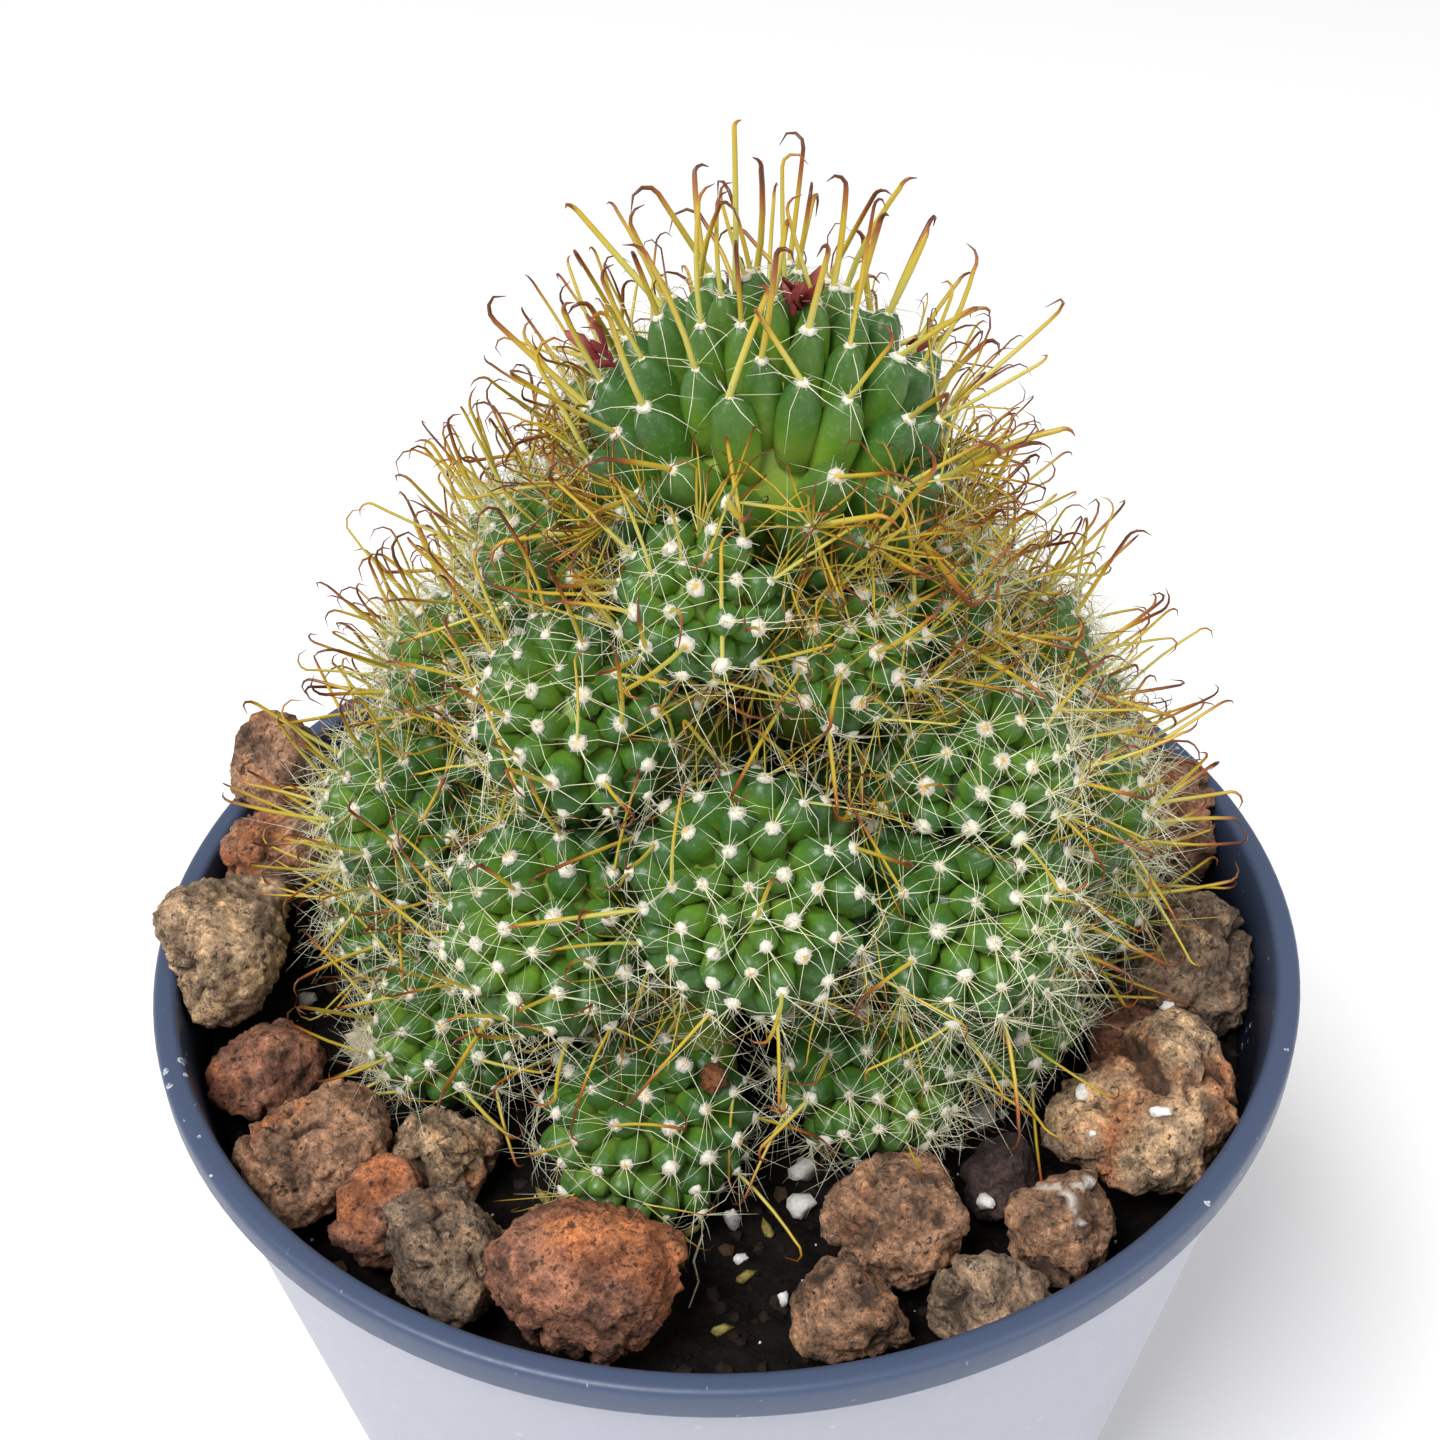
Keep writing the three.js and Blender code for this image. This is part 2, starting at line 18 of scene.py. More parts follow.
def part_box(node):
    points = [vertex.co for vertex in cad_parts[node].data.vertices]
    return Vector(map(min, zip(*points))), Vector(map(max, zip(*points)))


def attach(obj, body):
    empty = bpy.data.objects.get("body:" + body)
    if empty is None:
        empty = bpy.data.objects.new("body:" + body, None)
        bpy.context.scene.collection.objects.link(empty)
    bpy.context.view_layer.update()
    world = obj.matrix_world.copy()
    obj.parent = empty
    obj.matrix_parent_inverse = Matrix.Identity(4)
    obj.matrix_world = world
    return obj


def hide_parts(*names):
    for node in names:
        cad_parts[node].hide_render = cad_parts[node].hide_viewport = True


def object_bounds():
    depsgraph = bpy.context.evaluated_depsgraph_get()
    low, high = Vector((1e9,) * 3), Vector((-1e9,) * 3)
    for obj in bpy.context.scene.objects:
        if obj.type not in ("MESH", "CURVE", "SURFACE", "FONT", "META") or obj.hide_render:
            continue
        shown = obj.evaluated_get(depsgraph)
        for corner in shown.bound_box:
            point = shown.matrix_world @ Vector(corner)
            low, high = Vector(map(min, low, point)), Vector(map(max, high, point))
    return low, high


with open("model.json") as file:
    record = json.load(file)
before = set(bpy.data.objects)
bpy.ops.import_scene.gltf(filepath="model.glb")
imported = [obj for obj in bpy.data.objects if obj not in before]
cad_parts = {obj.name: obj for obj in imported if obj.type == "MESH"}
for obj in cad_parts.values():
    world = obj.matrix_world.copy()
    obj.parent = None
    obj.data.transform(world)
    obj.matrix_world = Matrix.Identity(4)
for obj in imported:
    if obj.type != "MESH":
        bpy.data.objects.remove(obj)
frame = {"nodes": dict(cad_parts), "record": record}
CAD_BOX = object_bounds()

bl_info = {
    "name": "Potted hooked-spine cactus",
    "version": (1, 0, 0),
    "blender": (4, 5, 0),
    "location": "View3D > Sidebar > Cactus",
    "description": "Builds a clump of hooked-spine cactus in a round nursery pot with lava rock",
    "category": "Object",
}

MM = 0.001
GOLDEN_ANGLE = math.pi * (3 - math.sqrt(5))

# The pot's outside is the frame's, and its other sizes follow from these two
RIM_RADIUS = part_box("pot")[1].x
POT_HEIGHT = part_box("pot")[1].z

# Soil surface, heaped towards the back left
SOIL_LEVEL = POT_HEIGHT - 11 * MM
HEAP_RISE = 8 * MM
HEAP_BEARING = math.radians(150)
RIPPLE_HEIGHT = 0.35 * MM
RIPPLE_ALONG_X = 0.5 / MM
RIPPLE_ALONG_Y = 0.45 / MM
RIPPLE_START = 1.0

# The gap that neighbours keep, and the heads' shared form
GAP = 0.3 * MM
BODY_LENGTH_SHARE = 2.2
MOTHER_STEM_RADIUS = 10.5 * MM

# Mound: its envelope gives the way that each head faces
MOUND_CENTRE = (3 * MM, 1 * MM, POT_HEIGHT + 2 * MM)
MOUND_RADIUS = 37 * MM
MOUND_RISE = 46 * MM

# Heads, in millimetres: x, y, height of the centre above the rim, radius, and the share of their
# tubercles that bear a hooked spine. The mother comes first, then the front and sides, then the back.
HEADS = (
    (4.6, 0, 48, 14.6, 1), (-1, -14, 44, 6.6, 0.5), (9.5, -12.5, 38, 6.8, 0.5),
    (16, -5.5, 37.5, 7, 0.6), (-13, 1, 38, 7, 1), (-7, 14, 44, 6, 1), (25.5, 3, 25, 7.8, 0.8),
    (-10.5, -11.5, 31.5, 9, 0.5), (20, -13.5, 27, 8.6, 0.35), (-21.5, 5, 24, 7.8, 1),
    (2, -22, 21.5, 9.8, 0.25), (-13.8, -19, 16, 9.4, 0.3), (19, -18.5, 16.5, 9.8, 0.2),
    (29.8, -4, 14.5, 8, 0.5), (-26.8, -2.5, 15, 8.2, 0.8), (-29, -1, 1.5, 7.6, 0.6),
    (32, -1.5, 2, 7.4, 0.5), (-24.5, -13, -1.5, 7.4, 0.25), (-7.2, -23.5, -2.5, 9.2, 0.2),
    (12, -19.5, -0.5, 8.6, 0.2), (24, -13.5, 0, 7.6, 0.25), (13, 12, 40, 7.2, 1), (2, 16, 39, 8, 1),
    (18, 15, 27, 8.4, 0.9), (8, 23, 28, 9, 0.7), (-5.5, 22, 28, 8.6, 0.7), (-14.5, 14, 30, 8, 0.9),
    (30, 10, 12, 8.6, 0.6), (22, 23.5, 13, 9.4, 0.5), (6, 31, 13, 9.6, 0.5),
    (-10.5, 29, 13, 9.4, 0.5), (-23.5, 18, 13, 9.2, 0.6), (31, 14, -2, 8.6, 0.4),
    (14, 31, -2, 9.2, 0.4), (-5, 33, -2, 9.2, 0.4), (-23.5, 21.5, 0, 9, 0.4),
)

# Heads at the front whose tufts have lost part of their thin spines
SPARSE_HEADS = (1, 2, 7, 10, 11, 18)

# Where the mother's tubercles stand apart: ways from its centre, each with a share, how far the effect
# reaches, how far the skin is bare, and how much faster it fades sideways than up and down
PARTINGS = (((-0.03, -0.84, 0.54), 1.0), ((-0.4, -0.75, 0.52), 0.6), ((0.36, -0.77, 0.52), 0.6))
PARTING_REACH = 4.5 * MM
PARTING_BARE = 1.7 * MM
PARTING_SHAPE = (1.5, 1.5, 0.6)

# The longest spine: the way from the mother's centre to its root, its own way, its hook and its bend
CROWN_SPINE_WAY = (-0.17, 0.03, 0.98)
CROWN_SPINE_AXIS = (0.03, 0.0, 1.0)
CROWN_SPINE_HOOK = 0.5 * MM
CROWN_SPINE_TURN = 1.6

# The spiral of tubercles: how far down a head it runs, where a tubercle is full grown, in how many
# steps it is summed up, and how far tubercles stray
SPIRAL_END = math.radians(124)
GROWN_TILT = math.radians(55)
SPIRAL_STEPS = 400
STRAY = 0.08
STRAY_REACH = 0.018

# How deep a neighbour may press a tubercle, how deep at most where it still bears wool and a hooked
# spine, and how far a tubercle stays above the soil
MOST_PRESSED = 0.7 * MM
FREE_PRESSED = -0.2 * MM
ABOVE_SOIL = 0.8 * MM

# Offsets whose spines rise, more so on the left
RISING_HEIGHT = POT_HEIGHT + 10 * MM
RISING_LEFT = -8 * MM
RISE = 0.3
RISE_LEFT = 0.4

# Withered flowers: their way from the mother's centre, how far out the petals start and how long they
# are, in millimetres, and how many there are
FLOWERS = (
    ((0.14, -0.15, 0.98), 13.8, 3.2, 7),
    ((-0.84, 0.1, 0.54), 14.4, 3.4, 4),
    ((0.78, 0.02, 0.63), 14.4, 1.8, 3),
)

# White grains on the soil and on a rock, in millimetres: x, y, half length, half width, half height
WHITE_GRAINS = (
    (-39.8, -3, 1, 0.8, 0.7), (6.3, -22.8, 1.4, 1, 1.1), (6, -26.2, 1.4, 1.1, 1),
    (22.4, -17.4, 1.7, 1.5, 1.3), (29.2, -9.6, 1.3, 1.1, 1), (21.3, -29.6, 1.1, 0.7, 0.7),
    (4, -36.2, 0.65, 0.5, 0.8), (29.8, -23.6, 0.9, 0.6, 0.6), (35.4, -27.8, 1, 0.5, 0.5),
    (30.1, -27.6, 0.35, 0.3, 0.3), (0, -28.3, 0.7, 0.5, 2), (24.8, -16.3, 0.5, 0.5, 0.4),
    (14.6, -20.6, 0.5, 0.4, 0.4), (20.3, -20.6, 0.45, 0.4, 0.4), (0.6, -31.8, 0.7, 0.5, 0.4),
    (31.4, -30.9, 0.4, 0.3, 0.3), (-19.6, -29.7, 0.5, 0.3, 0.3), (-8.6, -31.4, 0.5, 0.4, 0.3),
    (38.6, -14.8, 0.7, 0.6, 0.5), (-33, 12, 0.9, 0.7, 0.6), (24, 36, 1.1, 0.9, 0.8),
    (-17, 40, 0.9, 0.8, 0.7), (40, 4, 0.8, 0.6, 0.5), (3, 45, 0.7, 0.6, 0.5),
)

# A beige chunk at the left, in the same way
BEIGE_CHUNK = (-33, -7.6, 2.6, 3.4, 2)

# Seeds and a rootlet on the soil, in millimetres: where they lie, a seed's half sizes, and how thick the
# rootlet is at each point as a share
SEEDS = ((-16.4, -24.6), (3, -28.9), (-3.7, -28.7), (0.9, -33.6), (-1.2, -38.6))
SEED_HALF = (1.2, 0.5, 0.45)
ROOTLET = ((-2.6, -29.4), (-3.4, -31.6), (-3, -34), (-3.8, -36.6))
ROOTLET_GIRTHS = (1.0, 1.0, 0.8, 0.5)

# A dried fruit between the tubercles of a low front head, in millimetres: x, y, height above the rim
# and radius
FRUIT = (-1.2, -25.6, 4.4, 1.15)

# The white vein of one rock, the reddened side of another and the cleft of a third
VEIN_NODE = "lava_rock_13"
VEIN = ((24.9, -31.8), (27.2, -33.4), (29.4, -32.3), (27.2, -33.4), (27.7, -35.4))
RED_SIDE_NODE = "lava_rock_09"
RED_SIDE_X = -12 * MM
RED_SIDE_WIDTH = 5 * MM
CLEFT_NODE = "lava_rock_15"
CLEFT = ((32.6, -15), (34, -20), (35.4, -25))

# How rusty each kind of lava is, and how much more some rocks are
RUST = {"lava_brown": -0.42, "lava_tan": -0.6, "lava_red": -0.1, "lava_grey": -0.7, "lava_dark": -0.5}
MORE_RUST = {"lava_rock_06": 0.5, "lava_rock_15": 0.65, "lava_rock_07": 0.2}

# Relief of the rocks: scale and weight of the broken lumps, how far a point may move in and out, how
# much of an edge stays sharp, which rocks have the finest mesh, and how each differs from the others
LUMPS = ((0.7, 1.1), (1.7, 0.65), (3.9, 0.35))
DEEPEST = 2 * MM
HIGHEST = 0.8 * MM
EDGE_CREASE = 0.45
LARGE_ROCK = 5.4 * MM
BEHIND_MOUND = 20 * MM
ROCK_SHIFT = (7.3, 3.1, 5.7)

# Furrows where the spines tangle, in millimetres: x, y, height above the rim and reach
TANGLES = (
    (4.6, -3, 37, 18), (5, -15, 29, 9.5), (-20, -5, 27, 9), (23, -5, 31, 9), (-5, -22, 13, 7),
    (9, -23, 13, 7), (24, -10, 20, 6), (-19, -10, 22, 7),
)

# Sides and steps of the round forms, and the drain holes
POT_SIDES = 144
SOIL_SIDES = 128
SOIL_RINGS = 55
CORE_SIDES = 20
CORE_STEPS = 7
MOTHER_TUBERCLE_SIDES = 14
OFFSET_TUBERCLE_SIDES = 9
TUFT_SIDES = 7
PETAL_SIDES = 8
SPINE_SIDES = 5
HAIR_SIDES = 3
DRAIN_HOLES = 5
DRILL_SIDES = 24
DRILL_HALF = 0.01

# Soil that is hidden under the heads and rocks, as shares of their radius, and under the mound
HEAD_COVER = 0.55
ROCK_COVER = 0.8
MOUND_COVER = 22 * MM

# Fixed starts of the random draws
DRAWS = {
    "crumb": 3, "strewn_crumb": 4, "grit": 5, "warp": 6, "strewn_grit": 9, "mother": 21, "offset": 22,
    "grain": 31, "chunk": 32, "seed": 33, "flowers": 41, "petals": 42, "fruit": 43,
}

# Soft lights: name, place and side, and the place that they face, in metres
LIGHTS = (("key", (-0.9, -1.0, 2.2), 1.1), ("fill", (0.45, -0.25, 0.4), 0.4))
LIT_PLACE = (0, 0, 0.11)

# Camera, fitted to the photograph
CAMERA_PLACE = (0.08 * MM, -138.35 * MM, 217.36 * MM)
CAMERA_DIP = math.radians(37.35)
CAMERA_ROLL = math.radians(-1.56)
CAMERA_LENS = 50
CAMERA_SENSOR = 36

# Radius of an offset whose tubercles are as far apart as the settings say
USUAL_RADIUS = 8.6 * MM

UP = np.array((0.0, 0.0, 1.0))


def length(name, millimetres, description):
    """A size that the user can change, given in millimetres."""
    return FloatProperty(name=name, description=description, default=millimetres * MM, min=0,
                         unit="LENGTH", precision=4)


def share(name, default, description):
    """A plain number that the user can change."""
    return FloatProperty(name=name, description=description, default=default, min=0)


def count(name, default, description):
    """A whole number that the user can change."""
    return IntProperty(name=name, description=description, default=default, min=0)


def linear(red, green, blue):
    """A colour as it is seen, in steps of 255, as light."""
    steps = (red / 255, green / 255, blue / 255)
    return tuple(c / 12.92 if c <= 0.04045 else ((c + 0.055) / 1.055) ** 2.4 for c in steps)


def opaque(rgb):
    """A colour with its alpha, as node sockets take it."""
    return (*rgb, 1.0)


def as_seen(red, green, blue):
    """A fixed colour of a finish, given as it is seen."""
    return opaque(linear(red, green, blue))


def colour(name, seen, description):
    """A colour that the user can change, given as it is seen."""
    return FloatVectorProperty(name=name, description=description, default=linear(*seen), size=3,
                               min=0, max=1, subtype="COLOR")


class PotSettings(bpy.types.PropertyGroup):
    """Sizes and colours of the pot."""

    lip_width: length("Lip width", 2.2, "Width of the lip's flat top")
    lip_height: length("Lip height", 3, "Height of the lip's outer face")
    lip_round: length("Lip rounding", 0.7, "Rounding of the lip's edges")
    wall: length("Wall", 1.2, "Thickness of the wall")
    top_radius: length("Top radius", 51.2, "Outer radius of the wall just under the lip")
    foot_radius: length("Foot radius", 36.5, "Outer radius of the foot ring")
    foot_width: length("Foot width", 2.5, "Width of the foot ring")
    foot_height: length("Foot height", 1.5, "How far the base plate is raised")
    hole_radius: length("Hole radius", 3.5, "Radius of a drain hole")
    hole_circle: length("Hole circle", 22, "Radius of the circle that the drain holes lie on")
    lip_colour: colour("Lip", (66, 79, 106), "Slate blue of the lip")
    # The pot is one slate blue plastic: the inside's navy is painted shade, and the outer wall's pale grey
    # is painted light
    inner_colour: colour("Inside", (22, 26, 42), "Navy of the inner wall")
    wall_colour: colour("Wall colour", (168, 170, 184), "Pale lavender grey of the outer wall")


class SoilSettings(bpy.types.PropertyGroup):
    """Sizes and colours of the soil."""

    relief: length("Relief", 1.8, "Height of the soil's lumps")
    crumb: length("Crumb", 0.7, "Mean radius of a loose crumb")
    crumb_density: share("Crumb density", 230000, "Crumbs for each square metre of open soil")
    dark: colour("Dark", (4, 3, 3), "Moist soil")
    light: colour("Light", (24, 18, 14), "Drier fibres and bark in the soil")


class MotherSettings(bpy.types.PropertyGroup):
    """Sizes and counts of the mother head."""

    spacing: length("Spacing", 4.5, "Distance between neighbouring tubercles")
    core_share: share("Core", 0.58, "Radius of the core as a share of the head's")
    width_share: share("Width", 0.9, "Width of a tubercle as a share of the spacing")
    lean: share("Lean", 0.82, "How far the tubercles lean towards the crown")
    crown: share("Crown", 0.55, "Size of the youngest tubercles as a share of the others")
    axil: share("Axil", 1.0, "How far the axils are yellow")
    tuft: length("Tuft", 0.7, "Radius of a woolly tuft")
    radials: count("Radial spines", 5, "Radial spines on each tubercle")
    radial_length: length("Radial length", 4.8, "Mean length of a radial spine")
    radial_girth: length("Radial girth", 0.036, "Radius of a radial spine")
    central_length: length("Central length", 8.8, "Mean length of a hooked spine's shaft")
    central_spread: share("Central spread", 0.42, "How far the hooked spines splay")
    central_girth: length("Central girth", 0.22, "Radius of a hooked spine's shaft")
    crown_spine: length("Crown spine", 12.2, "Length of the longest spine, at the crown")
    parting: length("Parting", 2.0, "How far the tubercles stand apart at the front")
    dry: count("Dry spines", 5, "Dry spines on each old tubercle in the furrows")
    dry_girth: length("Dry girth", 0.11, "Radius of a dry spine")


class OffsetSettings(bpy.types.PropertyGroup):
    """Sizes and counts of the offsets."""

    spacing: length("Spacing", 3.35, "Distance between neighbouring tubercles")
    core_share: share("Core", 0.64, "Radius of the core as a share of the head's")
    width_share: share("Width", 0.93, "Width of a tubercle as a share of the spacing")
    lean: share("Lean", 0.16, "How far the tubercles lean towards the crown")
    crown: share("Crown", 0.62, "Size of the youngest tubercles as a share of the others")
    axil: share("Axil", 0.8, "How far the axils are yellow")
    tuft: length("Tuft", 0.72, "Radius of a woolly tuft")
    radials: count("Radial spines", 11, "Radial spines on each tubercle")
    radial_length: length("Radial length", 5.7, "Mean length of a radial spine")
    radial_girth: length("Radial girth", 0.037, "Radius of a radial spine")
    central_length: length("Central length", 7.8, "Mean length of a hooked spine's shaft")
    central_spread: share("Central spread", 0.7, "How far the hooked spines splay")
    central_girth: length("Central girth", 0.15, "Radius of a hooked spine's shaft")
    crown_spine: length("Crown spine", 0, "Length of a longest spine at the crown, if there is one")
    parting: length("Parting", 0, "How far the tubercles stand apart at the front")
    dry: count("Dry spines", 5, "Dry spines on each old tubercle in the furrows")
    dry_girth: length("Dry girth", 0.07, "Radius of a dry spine")


class SpineSettings(bpy.types.PropertyGroup):
    """Hooks, and the colours of spines, wool and flesh."""

    hook: length("Hook", 1.15, "Mean radius of the hook's bend")
    wool_girth: length("Wool", 0.05, "Radius of a wool fibre")
    dry_length: length("Dry length", 6.0, "Mean length of a dry spine in the furrows")
    root: colour("Spine root", (206, 200, 96), "Hooked spines at the root")
    shaft: colour("Spine shaft", (202, 172, 48), "Hooked spines along the shaft")
    bend: colour("Spine bend", (160, 82, 24), "Hooked spines where they bend")
    tip: colour("Spine tip", (92, 32, 16), "Hooked spines at the hook")
    radial: colour("Radial", (242, 243, 218), "Radial spines")
    wool: colour("Wool colour", (236, 234, 224), "Wool of the tufts")
    heart: colour("Tuft heart", (222, 172, 84), "Middle of a tuft")
    young: colour("Young flesh", (148, 182, 62), "Tubercles at the crown")
    flesh: colour("Flesh", (58, 100, 40), "Tops of the tubercles")
    flank: colour("Flank", (94, 142, 38), "Flanks of the tubercles")
    axil: colour("Axil", (164, 186, 76), "Between the tubercles")
    flower: colour("Withered flower", (128, 30, 30), "Dry petals at the crown")


class RockSettings(bpy.types.PropertyGroup):
    """Relief and colours of the lava rocks."""

    lump: length("Lump", 4.2, "Size of the broken lumps")
    relief: length("Relief", 1.1, "Height of the broken lumps")
    crack: length("Crack depth", 1.3, "Depth of the crevices")
    grit: length("Grit", 0.24, "Height of the grit")
    pit: length("Pit depth", 0.7, "Depth of a pore")
    pore: length("Pore spacing", 1.5, "Distance between pores")
    brown: colour("Brown", (140, 108, 86), "Brown lava")
    tan: colour("Tan", (168, 142, 114), "Tan lava")
    red: colour("Red", (132, 92, 74), "Red lava")
    grey: colour("Grey", (130, 110, 92), "Grey lava")
    dark: colour("Dark lava", (62, 48, 45), "Dark lava")


class StageSettings(bpy.types.PropertyGroup):
    """Floor and light."""

    floor_size: length("Floor", 3000, "Side of the floor")
    floor_colour: colour("Floor colour", (252, 252, 252), "Pale floor")
    key: share("Key light", 64, "Power of the main soft light, in watts")
    fill: share("Fill light", 0.9, "Power of the fill light, in watts")
    sky: share("Sky light", 0.42, "Strength of the light from all round")


class CactusSettings(bpy.types.PropertyGroup):
    """All that can be changed."""

    pot: PointerProperty(type=PotSettings, name="Pot", description="The pot")
    soil: PointerProperty(type=SoilSettings, name="Soil", description="The soil")
    mother: PointerProperty(type=MotherSettings, name="Mother", description="The mother head")
    offsets: PointerProperty(type=OffsetSettings, name="Offsets", description="The offsets")
    spines: PointerProperty(type=SpineSettings, name="Spines", description="Spines and flesh")
    rocks: PointerProperty(type=RockSettings, name="Rocks", description="The lava rocks")
    stage: PointerProperty(type=StageSettings, name="Stage", description="Floor and light")


class Graph:
    """Adds nodes to a tree and wires them. Its methods take sockets or values and give a socket."""

    def __init__(self, tree):
        self.tree = tree

    def add(self, kind, feeds=None, **settings):
        """A new node with its sockets fed and its settings set."""
        node = self.tree.nodes.new(kind)
        for name, value in settings.items():
            setattr(node, name, value)
        for socket, value in (feeds or {}).items():
            self.feed(node.inputs[socket], value)
        return node

    def feed(self, socket, value):
        if isinstance(value, bpy.types.NodeSocket):
            self.tree.links.new(value, socket)
        else:
            socket.default_value = value

    def math(self, operation, first, second, clamp=False):
        node = self.add("ShaderNodeMath", {0: first, 1: second}, operation=operation, use_clamp=clamp)
        return node.outputs[0]

    def plus(self, first, second, clamp=False):
        return self.math("ADD", first, second, clamp)

    def minus(self, first, second):
        return self.math("SUBTRACT", first, second)

    def times(self, first, second, clamp=False):
        return self.math("MULTIPLY", first, second, clamp)

    def mix(self, factor, first, second, blend="MIX"):
        node = self.add("ShaderNodeMix", data_type="RGBA", blend_type=blend)
        self.feed(node.inputs[0], factor)
        self.feed(node.inputs[6], first)
        self.feed(node.inputs[7], second)
        return node.outputs[2]

    def steps(self, value, low, high):
        """0 below low, 1 above high and smooth between them."""
        node = self.add("ShaderNodeMapRange", {0: value, 1: low, 2: high},
                        interpolation_type="SMOOTHSTEP")
        return node.outputs[0]

    def noise(self, vector, scale, detail=4.0, roughness=0.55):
        feeds = {"Vector": vector, "Scale": scale, "Detail": detail, "Roughness": roughness}
        return self.add("ShaderNodeTexNoise", feeds).outputs[0]

    def cells(self, vector, scale):
        """Distance from the middle of the nearest cell."""
        feeds = {"Vector": vector, "Scale": scale}
        return self.add("ShaderNodeTexVoronoi", feeds).outputs["Distance"]

    def attribute(self, name):
        return self.add("ShaderNodeAttribute", attribute_name=name).outputs["Fac"]

    def group(self, tree, feeds):
        """A node group placed in the tree. Its tree is set first, which gives it its sockets."""
        node = self.add("ShaderNodeGroup", node_tree=tree)
        for socket, value in feeds.items():
            self.feed(node.inputs[socket], value)
        return node


def shared_tree(name, inputs, outputs, kind="ShaderNodeTree"):
    """A new node group with named sockets: its graph, its input sockets and its output sockets."""
    tree = bpy.data.node_groups.new(name, kind)
    for in_out, sockets in (("INPUT", inputs), ("OUTPUT", outputs)):
        for socket, holds in sockets.items():
            tree.interface.new_socket(socket, in_out=in_out, socket_type="NodeSocket" + holds)
    graph = Graph(tree)
    return graph, graph.add("NodeGroupInput").outputs, graph.add("NodeGroupOutput").inputs


def geometry_tree(name, inputs):
    """A new geometry tree that takes a geometry, some named inputs and a finish."""
    inputs = {"Geometry": "Geometry", **inputs, "Finish": "Material"}
    return shared_tree(name, inputs, {"Geometry": "Geometry"}, "GeometryNodeTree")


def mottle_group():
    """Mottling: two colours mixed by coarse and fine grain, with the grain's height."""
    name = "Mottle"
    if name in bpy.data.node_groups:
        return bpy.data.node_groups[name]
    inputs = {"Vector": "Vector", "Scale": "Float", "Light": "Color", "Dark": "Color"}
    graph, given, out = shared_tree(name, inputs, {"Color": "Color", "Height": "Float"})
    fine_scale = graph.times(given["Scale"], 4.7)
    coarse = graph.noise(given["Vector"], given["Scale"], detail=3.0)
    fine = graph.noise(given["Vector"], fine_scale, detail=3.0, roughness=0.7)
    height = graph.plus(graph.times(coarse, 0.55), graph.times(fine, 0.45))
    graph.feed(out["Color"], graph.mix(graph.steps(height, 0.36, 0.62), given["Dark"], given["Light"]))
    graph.feed(out["Height"], height)
    return graph.tree


def speck_group():
    """Specks: a mask of small separate spots."""
    name = "Specks"
    if name in bpy.data.node_groups:
        return bpy.data.node_groups[name]
    inputs = {"Vector": "Vector", "Scale": "Float", "Reach": "Float", "Share": "Float"}
    graph, given, out = shared_tree(name, inputs, {"Mask": "Float"})
    spot = graph.cells(given["Vector"], given["Scale"])
    near = graph.math("LESS_THAN", spot, given["Reach"])
    patch_scale = graph.times(given["Scale"], 0.31)
    patch = graph.noise(given["Vector"], patch_scale, detail=2.0)
    some = graph.math("GREATER_THAN", patch, graph.minus(1.0, given["Share"]))
    graph.feed(out["Mask"], graph.times(near, some))
    return graph.tree


def new_material(name, roughness=0.5, **uniform):
    """A material, its graph, its shader node and the Object coordinates."""
    material = bpy.data.materials.new(name)
    material.use_nodes = True
    shader = material.node_tree.nodes["Principled BSDF"]
    shader.inputs["Roughness"].default_value = roughness
    for socket, value in uniform.items():
        shader.inputs[socket.replace("_", " ")].default_value = value
    graph = Graph(material.node_tree)
    place = graph.add("ShaderNodeTexCoord").outputs["Object"]
    return material, graph, shader.inputs, place


def add_bump(graph, shader, height, distance, strength=1.0):
    """Feeds a height to the shader's normal."""
    feeds = {"Height": height, "Distance": distance, "Strength": strength}
    graph.feed(shader["Normal"], graph.add("ShaderNodeBump", feeds).outputs[0])


def pot_plastic(pot):
    """Moulded plastic: slate lip, navy inside as painted shade, pale outer wall as painted light, with
    fine grain and white scuffs.
    """
    material, graph, shader, place = new_material("pot_plastic", roughness=0.42)
    # Painted light: the outer wall is paled. Painted shade: the inside is darkened to navy.
    wall = graph.attribute("wall")
    navy_painted_shade = opaque(pot.inner_colour)
    base = graph.mix(wall, opaque(pot.lip_colour), opaque(pot.wall_colour))
    base = graph.mix(graph.attribute("inside"), base, navy_painted_shade)
    grain = graph.noise(place, 900.0, detail=3.0)
    cloud = graph.steps(graph.noise(place, 60.0, detail=3.0), 0.45, 0.75)
    darker = graph.mix(0.5, base, navy_painted_shade)
    base = graph.mix(graph.times(cloud, 0.07), base, darker)
    drawn_out = graph.add("ShaderNodeMapping", {"Vector": place, "Scale": (1.0, 0.25, 0.6)}).outputs[0]
    scratch = graph.steps(graph.noise(drawn_out, 1500.0, detail=3.0, roughness=0.7), 0.69, 0.74)
    feeds = {"Vector": place, "Scale": 700.0, "Reach": 0.26, "Share": 0.36}
    scuff = graph.group(speck_group(), feeds).outputs["Mask"]
    rough_edge = graph.steps(graph.noise(place, 2600.0, detail=3.0, roughness=0.7), 0.44, 0.56)
    mark = graph.plus(graph.times(scuff, rough_edge), graph.times(scratch, 0.5), clamp=True)
    shown = graph.minus(0.7, graph.times(wall, 0.5))
    base = graph.mix(graph.times(mark, shown), base, as_seen(226, 230, 238))
    graph.feed(shader["Base Color"], base)
    graph.feed(shader["Roughness"], graph.plus(graph.times(grain, 0.2), 0.32))
    add_bump(graph, shader, grain, 0.05 * MM, 0.5)
    return material


